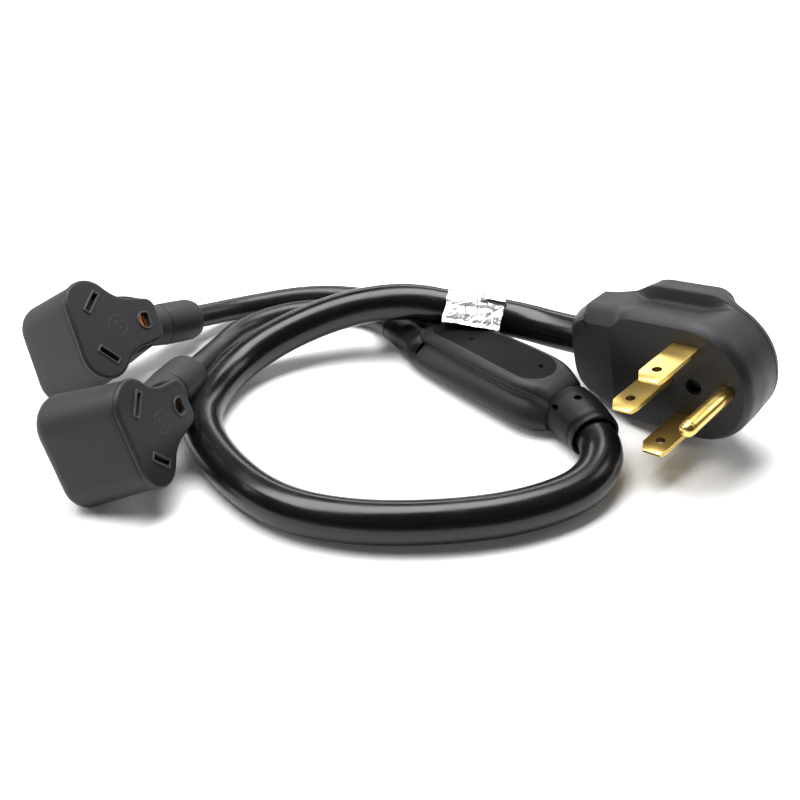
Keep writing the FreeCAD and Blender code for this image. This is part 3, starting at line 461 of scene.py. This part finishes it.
class Line:
    """Points read from a route's smooth curve, found by distance along it, in millimetres."""

    def __init__(self, route):
        obj = nurbs("guide", route)
        mesh = applied(obj)
        self.points = [vertex.co / MM for vertex in mesh.vertices]
        self.passed = [0.0]
        for a, b in zip(self.points, self.points[1:]):
            self.passed.append(self.passed[-1] + (b - a).length)
        self.length = self.passed[-1]
        bpy.data.objects.remove(obj)
        bpy.data.meshes.remove(mesh)

    def at(self, along):
        """The point at a distance along the line, and the two directions across it: level and upward."""
        i = max(k for k in range(len(self.points) - 1) if self.passed[k] <= along or k == 0)
        ahead = (self.points[i + 1] - self.points[i]).normalized()
        point = self.points[i] + ahead * (along - self.passed[i])
        level = ahead.cross(UP).normalized()
        return point, level, level.cross(ahead)


def cord(name, route, radius, slot):
    """A cord whose two ends go into mouldings."""
    obj = nurbs(name + "_piece", route)
    obj.data.bevel_depth = radius * MM
    obj.data.bevel_resolution = 10
    obj.data.materials.append(MATERIALS[slot])
    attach(obj, "root")
    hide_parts(name)
    line = Line(route)


def round_tube(bm, line, start, profile, turns):
    """Rings round a line: profile holds distance along it and radius."""
    rings = []
    for along, radius in profile:
        point, level, upward = line.at(start + along)
        rings.append([point + (level * math.cos(a) + upward * math.sin(a)) * radius for a in turns_of(turns)])
    loft_into(bm, rings, False, False)


THICK_RADIUS = 8.75
THIN_RADIUS = 5.65

camera()
light()
main_line = Line(MAIN_ROUTE)
cord("main_cord", MAIN_ROUTE, THICK_RADIUS, "thick_jacket")
cord("branch_cord_front", FRONT_ROUTE, THIN_RADIUS, "branch_jacket")
cord("branch_cord_rear", REAR_ROUTE, THIN_RADIUS, "branch_jacket")


# ---------------------------------------------------------------- plug

PLUG_END = -65.5       # X of the end where the cord leaves
PLUG_ROUND = 26.6      # radius of the other end
PLUG_BACK = 38.0       # height of the back, where the ridges are
BAND = 24.9            # height of the line where the back's rounding starts
CREASE = -36.0         # X where the face bends back
CREASE_ANGLE = 17.0
# X and half the plug's height there, on the side with the upper hot blade and on the other side
PLUG_UPPER = [
    (-65.48, 2.5), (-65.4, 5.0), (-65.2, 7.2), (-64.7, 9.4), (-63.8, 11.5), (-62.4, 13.7),
    (-60.6, 15.9), (-54.5, 21.0), (-48.0, 21.7), (-37.0, 24.2), (-27.0, 26.2), (0.0, 26.3)]
PLUG_LOWER = [
    (-65.48, 2.5), (-65.4, 5.5), (-65.2, 8.5), (-64.7, 11.5), (-63.8, 14.3), (-62.4, 17.0),
    (-60.6, 19.2), (-54.5, 23.8), (-48.0, 25.2), (-37.0, 26.4), (-26.0, 27.2), (0.0, 27.2)]

BLADES = {"plug_hot_blade_upper": (0.0, -16.35), "plug_hot_blade_lower": (0.0, 16.35),
          "plug_neutral_blade": (-12.85, 0.0)}
BLADE_WIDTH = 11.9
LEAF = 1.06            # thickness of each of a blade's two leaves
HOLE_DEPTH = -22.1     # Z of the hole in a blade
PIN_X = 17.4
PIN_RADIUS = 3.3
PIN_TIP = -30.6        # Z where the pin's dome starts


def plug_side(rows, bulge):
    """Points from the cord end to the round end along one side of the plug."""
    corner = [-58.6, -56.8, -55.6, -54.5, -53.4, -52.0, -50.2]
    straight = [-48.0 + 1.6 * i for i in range(30)]
    points = rows[:7] + [(x, table(x, rows, 1)) for x in corner + straight]
    for i in range(49):
        a = math.radians(1.875 * i)
        radius = PLUG_ROUND + (rows[-1][1] - PLUG_ROUND) * math.cos(a) + bulge * math.sin(2 * a)
        points.append((radius * math.sin(a), radius * math.cos(a)))
    return points


def plug_outline():
    """Points round the plug with their outward directions."""
    points = [(PLUG_END, 0.0)] + plug_side(PLUG_LOWER, 1.2)
    points += [(x, -y) for x, y in plug_side(PLUG_UPPER, -0.5)[-2::-1]]
    count = len(points)
    result = []
    for i, (x, y) in enumerate(points):
        before, after = points[i - 1], points[(i + 1) % count]
        tangent = Vector((after[0] - before[0], after[1] - before[1])).normalized()
        result.append((Vector((x, y)), Vector((-tangent.y, tangent.x))))
    return result


def rounding(z, start, reach):
    """How far a quarter circle has come in at z, from 0 at its start to 1 at its reach."""
    return 1 - math.sqrt(max(1 - (max(z - start, 0.0) / reach) ** 2, 0.0))


def plug_inset(x, y, z):
    """How far the shell lies inside its outline: face edge, finger valleys, ridges and back."""
    edge = 2.3 + 3.4 * smoothstep(-30.5, -36.0, x) * (1 - 0.5 * smoothstep(-50.0, -60.0, x))
    reach = 5.0 + 6.0 * smoothstep(-30.5, -38.0, x)
    inset = edge * (1 - min(z / reach, 1.0)) ** 2.4
    inset += 9.0 * rounding(z, 25.0, 9.0)
    inset += 0.7 * smoothstep(12.0, 25.0, z) * smoothstep(5.0, 20.0, x)
    side = smoothstep(-39.5, -30.0, x) * (1 - smoothstep(-4.0, 11.0, x)) * smoothstep(14.0, 22.0, abs(y))
    valley = 3.9 * smoothstep(5.0, 23.0, z) + 0.5 * smoothstep(27.0, 33.0, z)
    ridge = 5.9 * smoothstep(22.9, 26.0, z)
    shaped = (inset if z < 20 else 0.0) + valley - ridge + 4.0 * rounding(z, 33.0, 5.1)
    return inset * (1 - side) + shaped * side


def plug_layer(outline, z, extra=0.0):
    """A ring of the plug's shell; above the band the back is lower where there is no ridge."""
    ring = []
    for base, out in outline:
        inset_at = depth = z
        if z > BAND:
            above = (z - BAND) / (PLUG_BACK - BAND)
            grip = smoothstep(-38.5, -29.5, base.x) * (1 - smoothstep(-3.0, 10.5, base.x))
            back = 33.0 - 4.0 * smoothstep(-34.0, -60.0, base.x)
            back += (PLUG_BACK - back) * grip
            depth = BAND + above * (back - BAND)
            inset_at = BAND + above * (9.0 * (1 - grip) + (PLUG_BACK - BAND) * grip)
        inset = plug_inset(base.x, base.y, inset_at) + extra
        groove = 0.22 * math.exp(-((z - BAND - 0.05) / 0.16) ** 2)
        place = base - out * (inset + groove)
        ring.append(Vector((place.x, place.y, depth)))
    return ring


def plug_overmould():
    outline = plug_outline()
    heights = [0.0, 0.12, 0.35, 0.8, 1.4, 2.2, 3.2, 4.4, 6, 8, 10, 12, 13.5, 15, 16, 17, 18, 19, 20, 21, 22,
               22.6, 23.0, 23.3, 23.6, 23.9, 24.2, 24.5, 24.9, 25.2, 25.5, 25.8, 26.1, 26.5,
               27, 28, 29, 30, 31, 32, 33, 34, 35, 36, 37, 37.7, PLUG_BACK]
    rings = [plug_layer(outline, 0.0, extra) for extra in (3.0, 0.6)]
    rings += [plug_layer(outline, z) for z in heights]
    rings += [plug_layer(outline, PLUG_BACK, extra) for extra in (1.2, 2.6, 4.5, 7.0)]
    bm = bmesh.new()
    loft_into(bm, rings)
    bmesh.ops.remove_doubles(bm, verts=bm.verts, dist=WELD)
    every = bm.verts[:] + bm.edges[:] + bm.faces[:]
    bmesh.ops.bisect_plane(bm, geom=every, plane_co=(CREASE, 0, 0), plane_no=(1, 0, 0))
    slope = math.tan(math.radians(CREASE_ANGLE))
    for vertex in bm.verts:
        behind = max(CREASE - vertex.co.x, 0.0)
        vertex.co.z += behind * slope * max(1 - vertex.co.z / 27.0, 0.0)
    obj = finish_piece("plug_shell_moulding", bm, PLUG, "plug_vinyl", ["plug_overmould"], split=26)
    recess = circle(3.6, 2.6, 1.2)
    cutters = [prism(recess, -1, 6.0, PLUG)]
    for x, y in BLADES.values():
        cutters.append(prism(rounded_box(12.2, 2.5, 0.4, x, y), -1, 3.0, PLUG))
    cutters.append(prism(circle(PIN_RADIUS + 0.08, PIN_X, 0.0), -1, 3.0, PLUG))
    carve(obj, cutters)


def flat_blade(node):
    """Two leaves of sheet, folded together at one long edge, with a bevelled tip and a hole."""
    x, y = BLADES[node]
    tip = [(-25.4, 0, 0), (-26.0, 0.3, 0.0), (-29.0, 2.5, 0.02), (-29.9, 3.15, 0.25), (-30.4, 3.5, 0.45),
           (-30.6, 3.8, 0.6)]
    bm = bmesh.new()
    for side in (-1, 1):
        middle = side * (LEAF / 2 + 0.03)
        rings = []
        for z, narrow, thin in [(z, 0, 0) for z in (6.0, 1.0, -10.0, -20.0)] + tip:
            shift = middle - side * thin / 2
            box = rounded_box(BLADE_WIDTH - narrow, LEAF - thin, 0.2, x, y + shift)
            rings.append([Vector((px + 0.28 * narrow, py, z)) for px, py in box])
        loft_into(bm, rings[::-1])
    fold_x = x - BLADE_WIDTH / 2 + 0.5
    fold = [(fold_x + 0.62 * math.cos(a), y + 1.02 * math.sin(a)) for a in turns_of(20)]
    loft_into(bm, [at_height(fold, z) for z in (-25.4, 6.0)])
    obj = finish_piece(node.replace("plug_", "") + "_leaves", bm, PLUG, "brass", [node], split=32)
    hole = bmesh.new()
    rings = []
    for depth, radius in ((-3.0, 2.7), (-1.0, 2.0), (1.0, 2.0), (3.0, 2.7)):
        rings.append([Vector((px, y + depth, pz)) for px, pz in circle(radius, x, HOLE_DEPTH)])
    loft_into(hole, rings)
    hole.transform(to_world(PLUG))
    # the hole's walls are coloured dark brass: painted shade inside the hole
    carve(obj, [hole], "hole_wall_painted_shade")


def ground_pin():
    """Round pin with a domed tip, a step where the dome starts and a seam along it."""
    bm = bmesh.new()
    dome = PIN_RADIUS - 0.1
    angles = [math.radians(9 * i) for i in range(10)]
    tip = [(PIN_TIP - dome * math.sin(a), 0.05 + dome * math.cos(a)) for a in angles]
    profile = [(6.0, 2.9), (1.0, 2.9), (0.6, PIN_RADIUS), (-10.0, PIN_RADIUS), (-20.0, PIN_RADIUS),
               (-29.6, PIN_RADIUS), (-29.9, 3.28), (-30.0, 3.16), (-30.25, 3.16), (-30.35, 3.25)] + tip
    lathe(bm, profile[::-1], Matrix.Translation((PIN_X, 0, 0)))
    obj = finish_piece("ground_pin_round", bm, PLUG, "brass", ["plug_ground_pin"], split=50)
    seam = prism(rounded_box(0.22, 1.2, 0.1, PIN_X, PIN_RADIUS + 0.2), -29.5, 0.5, PLUG)
    carve(obj, [seam])


# ---------------------------------------------------------------- junction

# x, half width of the belly, top of the lid, half width of the lid, depth of the panel in the lid
JUNCTION_ROWS = [
    (-38.0, 13.4, 14.8, 8.6, 0.0), (-37.6, 14.4, 16.2, 9.4, 0.0), (-35.4, 16.2, 19.2, 10.8, 0.0),
    (-32.0, 17.1, 20.9, 12.0, 0.05), (-27.0, 18.0, 22.0, 12.9, 0.25), (-15.0, 18.9, 23.0, 14.0, 0.4),
    (0.0, 19.4, 23.7, 15.2, 0.45), (15.0, 19.8, 24.0, 15.8, 0.45), (27.0, 20.0, 24.1, 15.8, 0.45),
    (32.5, 19.6, 24.1, 15.0, 0.3), (36.5, 18.7, 23.8, 13.8, 0.1), (40.5, 16.9, 22.8, 12.3, 0.0),
    (43.6, 14.9, 21.5, 11.4, 0.0), (44.9, 13.9, 20.6, 10.8, 0.0), (45.3, 13.2, 20.0, 10.2, 0.0)]
LID_HEIGHT = 24.0      # the section's heights are given for a lid this high
RIM = 4.6              # from the lid's side to its panel
MOULD_HOLES = ((-9.3, -1.3, 1.0), (28.6, 2.4, 1.1))     # x, y and radius


def junction_section(x):
    """Half a section from the underside over the belly, the valley and the lid's rim, then mirrored."""
    belly, top, lid, panel = (table(x, JUNCTION_ROWS, column) for column in (1, 2, 3, 4))
    k = top / LID_HEIGHT
    groove = 1.3 * smoothstep(-38.0, -30.0, x) * (1 - smoothstep(33.0, 44.0, x))
    lift = 0.1 + 1.3 * smoothstep(40.0, 45.3, x) + 0.5 * smoothstep(-36.0, -39.1, x)
    half = [
        (0.0, lift), (0.42 * belly, lift + 0.25), (0.72 * belly, lift + 1.5), (0.9 * belly, lift + 3.9),
        (0.985 * belly, lift + 6.7 * k), (belly, 9.3 * k), (0.945 * belly, 12.0 * k),
        (0.38 * belly + 0.62 * lid, 14.5 * k), (lid + 0.3 - groove * 0.8, 16.3 * k), (lid - groove, 17.8 * k),
        (lid - 0.2 - groove * 0.5, 19.0 * k), (lid - 0.1, 20.2 * k), (lid - 0.9, top - 2.2 * k),
        (lid - 2.3, top - 0.85), (lid - 3.9, top - 0.12), (lid - 4.8, top - 0.15 - 0.3 * panel),
        (lid - 5.4, top - 0.1 - panel), (0.5 * lid, top - 0.05 - panel), (0.36 * lid, top - 0.05 - panel),
        (0.24 * lid, top - 0.02 - panel), (0.12 * lid, top - panel), (0.0, top - panel),
    ]
    return half + [(-y, z) for y, z in half[-2:0:-1]]


def in_panel(place):
    """Whether a point of the junction is in the rougher panel of its lid, which has round ends."""
    past = max((-23.0 - place.x) / 9.0, (place.x - 25.0) / 11.0, 0.0)
    reach = (table(place.x, JUNCTION_ROWS, 3) - RIM) * math.sqrt(max(1 - past ** 2.6, 0.0))
    return place.z > table(place.x, JUNCTION_ROWS, 2) - 1.2 and abs(place.y) < reach


def junction_overmould():
    stations = [-38.0, -37.9, -37.6, -36.9, -35.4, -33, -31, -29.5, -28, -26.5, -25, -22, -15, -8, 0, 8, 15,
                21, 24, 26, 27.5, 29, 30.5, 32, 33.5, 35, 36.5, 38.5, 40.5, 42.2, 43.6, 44.6, 45.1, 45.3]
    bm = bmesh.new()
    loft_into(bm, [[Vector((x, y, z)) for y, z in junction_section(x)] for x in stations])
    obj = finish_piece("junction_moulding", bm, JUNCTION, "junction_vinyl", ["junction_overmould"], levels=2)
    dense = applied(obj)
    obj.modifiers.clear()
    obj.data = dense
    dense.materials.append(MATERIALS["junction_panel"])
    back = to_world(JUNCTION).inverted()
    for polygon in dense.polygons:
        if in_panel(back @ polygon.center):
            polygon.material_index = 1
    cutters = []
    for x, y, radius in MOULD_HOLES:
        bm = bmesh.new()
        funnel = [(21.5, radius * 0.7), (23.0, radius), (24.6, radius * 1.35)]
        lathe(bm, funnel, Matrix.Translation((x, y, 0)), 28)
        bm.transform(to_world(JUNCTION))
        cutters.append(bm)
    carve(obj, cutters)


def inlet_boot():
    """Sleeve that bends with the thick cord, with a groove at its root, an open mouth and two holes."""
    profile = [(0.6, 10.9), (0.0, 11.0), (-0.5, 11.1), (-0.9, 11.7), (-1.6, 11.95), (-4.0, 12.0),
               (-8.0, 11.85), (-12.0, 11.5), (-15.5, 11.15), (-17.4, 10.95), (-17.8, 10.78), (-18.1, 10.95),
               (-20.0, 10.95), (-21.6, 10.85), (-22.2, 10.6), (-22.5, 10.1), (-22.4, 9.6), (-21.5, 9.4),
               (-16.0, 8.95), (-8.0, 8.9)]
    bm = bmesh.new()
    round_tube(bm, main_line, main_line.length - 3.0, profile, 72)
    obj = finish_piece("inlet_boot_sleeve", bm, Matrix(), "boot_vinyl", ["junction_inlet_boot"], split=60)
    middle = Vector((50.0, 0.0, 12.2))
    cutters = []
    for place in (Vector((48.3, -10.9, 18.0)), Vector((54.2, -5.0, 22.8))):
        inward = (middle - place).normalized()
        turned = Matrix.Translation(place) @ inward.to_track_quat("Z", "X").to_matrix().to_4x4()
        rings = []
        for depth, grow in ((-1.5, 1.25), (-0.2, 1.1), (2.2, 0.8)):
            rings.append([turned @ Vector((1.05 * grow * math.cos(a), 1.5 * grow * math.sin(a), depth))
                          for a in turns_of(24)])
        bm = bmesh.new()
        loft_into(bm, rings)
        bm.transform(to_world(JUNCTION))
        cutters.append(bm)
    carve(obj, cutters)


def branch_boot(key, line):
    """Sleeve round a thin cord, flared where it goes into the junction."""
    profile = [(10.0, 7.0), (8.0, 8.3), (6.0, 8.8), (4.0, 8.75), (2.0, 8.5), (0.5, 8.25), (-1.0, 8.05),
               (-3.0, 7.85), (-8.0, 7.6), (-14.0, 7.3), (-20.6, 7.0), (-20.9, 6.8), (-21.2, 6.95),
               (-22.1, 6.85), (-22.6, 6.5), (-22.5, 6.0), (-21.0, 5.8), (-10.0, 5.75)]
    bm = bmesh.new()
    round_tube(bm, line, line.length - 5.0, profile, 56)
    nodes = ["junction_boot_" + key]
    finish_piece("branch_boot_sleeve_" + key, bm, Matrix(), "boot_vinyl", nodes, split=60)


# ---------------------------------------------------------------- connectors

SLOTS = ((-12.1, -45.0), (12.1, 45.0))      # y and turn of each slot
SLOT_SIZE = (9.6, 2.15)
GROUND_X = 24.3
GROUND_RADIUS = 3.4
GROUND_FLAT = 2.0      # from the ground hole's middle to its flat side
SEAM = 2.35            # Z where the face plate meets the body
BODY_BACK = 41.0
LEAN = Vector((-1.3, 1.5, 0.0))             # how far the body leans at its back
NECK = Matrix.Translation((0, 0, 18.0)) @ Matrix.Rotation(math.radians(90), 4, "Y")


def half_outline():
    """Points along one side of the connector, from the slots' end to the ground end."""
    half = [(-12.0, y) for y in (0.0, 2.5, 5.0, 7.5, 9.5)]
    lobe = 11.1
    for i in range(34):
        a = math.radians(180.0 - (180.0 - 36.95) * i / 33)
        half.append((-0.9 + lobe * math.cos(a), lobe + lobe * math.sin(a)))
    waist = 17.6
    for i in range(1, 24):
        a = math.radians(216.95 + (272.0 - 216.95) * i / 23)
        half.append((22.1 + waist * math.cos(a), 28.4 + waist * math.sin(a)))
    half += [(24.4, 10.35), (26.0, 10.0)]
    corner = 4.55
    for i in range(1, 13):
        a = math.radians(90 - 90 * i / 12)
        half.append((27.35 + corner * math.cos(a), 5.35 + corner * math.sin(a)))
    return half + [(31.9, 2.6), (31.9, 0.0)]


def lobed_outline(fill):
    """Three lobed outline with outward directions; fill makes the waist at the ground end shallower."""
    points = []
    for x, y in half_outline():
        away = smoothstep(0.0, 5.0, y)
        waist = fill * math.exp(-((x - 19.5) / 7.5) ** 2) * away
        end = 0.6 * (fill > 0) * smoothstep(22.0, 27.0, x) * away
        points.append(Vector((x, y + waist + end)))
    points += [Vector((p.x, -p.y)) for p in points[-2:0:-1]]
    count = len(points)
    for smoothing in range(3):
        points = [(points[i - 1] + points[i] * 2 + points[(i + 1) % count]) / 4 for i in range(count)]
    result = []
    for i, point in enumerate(points):
        tangent = (points[(i + 1) % count] - points[i - 1]).normalized()
        result.append((point, Vector((-tangent.y, tangent.x))))
    return result


def grown(outline, grow, z):
    return [Vector((p.x + n.x * grow, p.y + n.y * grow, z)) for p, n in outline]


def slot_outline(y, turn):
    """A function that gives a slot's outline, grown by a distance."""
    width, height = SLOT_SIZE

    def outline(grow):
        corner = 0.12 + max(grow, 0) * 0.4
        return rounded_box(width + 2 * grow, height + 2 * grow, corner, 0.0, y, math.radians(turn))

    return outline


def ground_outline(grow):
    """Round ground hole with its flat side away from the slots."""
    return [(min(x, GROUND_X + GROUND_FLAT + grow), y)
            for x, y in circle(GROUND_RADIUS + grow, GROUND_X, 0.0, 48)]


def face_plate(side, matrix, shapes):
    layers = [(SEAM, -4.0), (SEAM, 0.2), (2.2, 0.42), (1.9, 0.5), (1.3, 0.5), (0.85, 0.42), (0.45, 0.2),
              (0.2, -0.12), (0.05, -0.5), (0.0, -0.95), (0.0, -1.6), (0.0, -3.0)]
    outline = lobed_outline(0.0)
    bm = bmesh.new()
    loft_into(bm, [grown(outline, grow, z) for z, grow in layers])
    name = side + "_face_plate"
    plate = finish_piece(name, bm, matrix, "face_vinyl", [side + "_connector_face"], split=40)
    carve(plate, [prism(shape(0.3), -1.0, 3.0, matrix) for shape in shapes])


def face_rims(side, matrix, shapes):
    """Raised rims that line the openings, and a plain ring with two dots in the middle of the face."""
    rim = [(1.0, 0.9), (-0.25, 0.9), (-0.42, 0.78), (-0.5, 0.6), (-0.5, 0.3), (-0.42, 0.08), (-0.2, 0.0),
           (SEAM, 0.0), (SEAM, 0.35)]
    ring = [(4.75, 0.1), (4.75, -0.07), (4.6, -0.13), (4.45, -0.07), (4.45, 0.1)]
    bm = bmesh.new()
    for shape in shapes:
        loft_into(bm, [at_height(shape(grow), z) for z, grow in rim], False, False)
    loft_into(bm, [at_height(circle(radius, 9.2, 0.0, 56), z) for radius, z in ring], False, False)
    for x, y in ((8.4, -1.2), (10.2, 1.4)):
        lathe(bm, [(0.1, 0.5), (-0.1, 0.45), (-0.16, 0.25)], Matrix.Translation((x, y, 0)), 20)
    finish_piece(side + "_face_rims", bm, matrix, "face_vinyl", split=40, look="face_rim")


def ground_leaves(side, matrix):
    """Two copper leaves in the ground hole, with a gap between them."""
    bm = bmesh.new()
    for low, high, shift in ((-9.0, -0.3, -0.3), (0.3, 9.0, 0.3)):
        shape = [(GROUND_X + min(max(x - GROUND_X, low), high), y) for x, y in ground_outline(-0.12)]
        shape = [point for i, point in enumerate(shape) if point != shape[i - 1]]
        middle = GROUND_X + shift
        rows = [(2.3, 1.0), (1.85, 1.0), (1.65, 0.97), (1.6, 0.85), (1.8, 0.5)]
        loft_into(bm, [at_height([(middle + (x - middle) * k, y * k) for x, y in shape], z) for z, k in rows])
    finish_piece(side + "_ground_leaves", bm, matrix, "copper", split=40)


def connector_face(side, matrix):
    shapes = [slot_outline(y, turn) for y, turn in SLOTS] + [ground_outline]
    face_plate(side, matrix, shapes)
    face_rims(side, matrix, shapes)
    ground_leaves(side, matrix)


def body_ring(outline, grow, z):
    """A ring of the body, which is shallower at the ground end than at the lobes, and leans."""
    ring = []
    for base, out in outline:
        depth = BODY_BACK - 12.2 * smoothstep(9.0, 21.0, base.x)
        lowered = z if z < 3.0 else 3.0 + (z - 3.0) * ((depth - 3.0) / (BODY_BACK - 3.0))
        lean = LEAN * max(lowered - 4.0, 0.0) / (BODY_BACK - 4.0)
        ring.append(Vector((base.x + out.x * grow, base.y + out.y * grow, lowered)) + lean)
    return ring


def connector_body(side, matrix):
    layers = [(SEAM, -5.0), (SEAM, -0.75), (2.75, -0.65), (3.05, -0.2), (3.6, 0.0), (6.0, 0.12), (12, 0.45),
              (20, 0.9), (28, 1.35), (34.6, 1.75), (35.0, 1.72), (36.2, 1.5), (37.4, 0.95), (38.6, 0.0),
              (39.6, -1.35), (40.4, -3.0), (40.9, -5.0), (BODY_BACK, -6.5)]
    neck = [(22.0, 9.6), (31.0, 9.6), (33.2, 9.35), (36.0, 9.3), (40.0, 9.55), (44.6, 9.9), (45.0, 9.8),
            (45.2, 9.5)]
    outline = lobed_outline(2.4)
    bm = bmesh.new()
    loft_into(bm, [body_ring(outline, grow, z) for z, grow in layers])
    lathe(bm, neck, NECK, 72)
    name = side + "_housing"
    finish_piece(name, bm, matrix, "connector_vinyl", [side + "_connector_body"], split=34)


def connector_collar(side, matrix):
    """Sleeve round the thin cord behind the neck, with a step and an open mouth."""
    profile = [(45.25, 8.6), (45.3, 9.6), (45.7, 9.95), (46.4, 10.1), (55.0, 10.15), (61.9, 10.1),
               (62.5, 9.95), (62.8, 9.55), (63.3, 9.45), (64.4, 9.35), (65.2, 8.95), (65.7, 8.2),
               (65.8, 7.2), (65.5, 6.2), (64.5, 5.85), (60.0, 5.8)]
    bm = bmesh.new()
    lathe(bm, profile, NECK, 72)
    name = side + "_collar_sleeve"
    finish_piece(name, bm, matrix, "collar_vinyl", [side + "_connector_collar"], split=50)


# ---------------------------------------------------------------- foil label

FOIL_START = 54.0      # along the thick cord
FOIL_LENGTH = 28.0
FOIL_RADIUS = 8.98
DRAPE_ANGLE = 135.0    # angle round the cord where the foil starts to stand off
LIP_ANGLE = 176.0      # angle of its folded lip


def foil_stand_off(along, a):
    """How far the foil stands off the cord: creases, a drape towards the lip, and the lip."""
    angle = math.degrees(a)
    share = min(max((angle - DRAPE_ANGLE) / (LIP_ANGLE - DRAPE_ANGLE), 0.0), 1.0)
    key = Vector((along * 0.16, 2.6 * math.cos(a), 2.6 * math.sin(a)))
    crumple = 0.30 * noise.noise(key * 1.3) + 0.20 * abs(noise.noise(key * 2.7 + Vector((7, 3, 1))))
    crumple += 0.10 * abs(noise.noise(key * 6.0))
    crumple *= 1 + 1.2 * share
    wave = 1 + 0.12 * noise.noise(Vector((along * 0.35, 0, 5)))
    drape = 4.6 * share ** 1.6 * math.exp(-(max(angle - LIP_ANGLE, 0.0) / 3.0) ** 2) * wave
    lip = 1.4 * math.exp(-((angle - LIP_ANGLE) / 2.2) ** 2)
    return max(crumple, -0.12) + drape + lip


def foil_flag(bm):
    """Small tab that stands up from the foil."""
    rows = []
    for i in range(13):
        point, level, upward = main_line.at(53.2 + 1.1 * i)
        row = []
        for j in range(9):
            sway = 0.5 * noise.noise(Vector((i * 0.3, j * 0.3, 2))) + 0.03 * j * j
            row.append(bm.verts.new(point + upward * (8.8 + 0.2 * j) - level * (2.0 + sway)))
        rows.append(row)
    for row, other in zip(rows, rows[1:]):
        for i in range(8):
            bm.faces.new((row[i], row[i + 1], other[i + 1], other[i]))


def foil_label():
    """Creased foil wrapped round the thick cord, with ragged ends."""
    stations = 74
    rings = []
    for i in range(stations):
        share = i / (stations - 1)
        along = FOIL_START + FOIL_LENGTH * share
        ring = []
        for a in turns_of(180):
            ragged = 0.7 * noise.noise(Vector((3.0 * math.cos(a), 3.0 * math.sin(a), i * 0.01)))
            point, level, upward = main_line.at(along + ragged * abs(share - 0.5) * 2)
            radius = FOIL_RADIUS + foil_stand_off(along, a)
            ring.append(point + (level * math.cos(a) + upward * math.sin(a)) * radius)
        rings.append(ring)
    bm = bmesh.new()
    loft_into(bm, rings, False, False)
    foil_flag(bm)
    obj = finish_piece("foil_wrap", bm, Matrix(), "foil", ["foil_label"], split=60)
    solid = obj.modifiers.new("thickness", "SOLIDIFY")
    solid.thickness = 0.08 * MM
    solid.offset = 1.0


plug_overmould()
for blade in BLADES:
    flat_blade(blade)
ground_pin()
junction_overmould()
inlet_boot()
branch_boot("front", Line(FRONT_ROUTE))
branch_boot("rear", Line(REAR_ROUTE))
for side, matrix in (("rear", REAR), ("front", FRONT)):
    connector_face(side, matrix)
    connector_body(side, matrix)
    connector_collar(side, matrix)
foil_label()


# ---------------------------------------------------------------- floor and end

def floor():
    bm = bmesh.new()
    bmesh.ops.create_grid(bm, x_segments=2, y_segments=2, size=4.0)
    mesh = bpy.data.meshes.new("floor")
    bm.to_mesh(mesh)
    bm.free()
    obj = bpy.data.objects.new("floor", mesh)
    scene.collection.objects.link(obj)
    n = Nodes("white_floor")
    n.set(Base_Color=(0.9, 0.9, 0.9, 1), Roughness=0.9, Specular_IOR_Level=0.1,
          Emission_Color=(1, 1, 1, 1), Emission_Strength=0.05)
    mesh.materials.append(n.material)


floor()
dress_cad_nodes()
scene.view_settings.view_transform = "Standard"

bpy.context.view_layer.update()
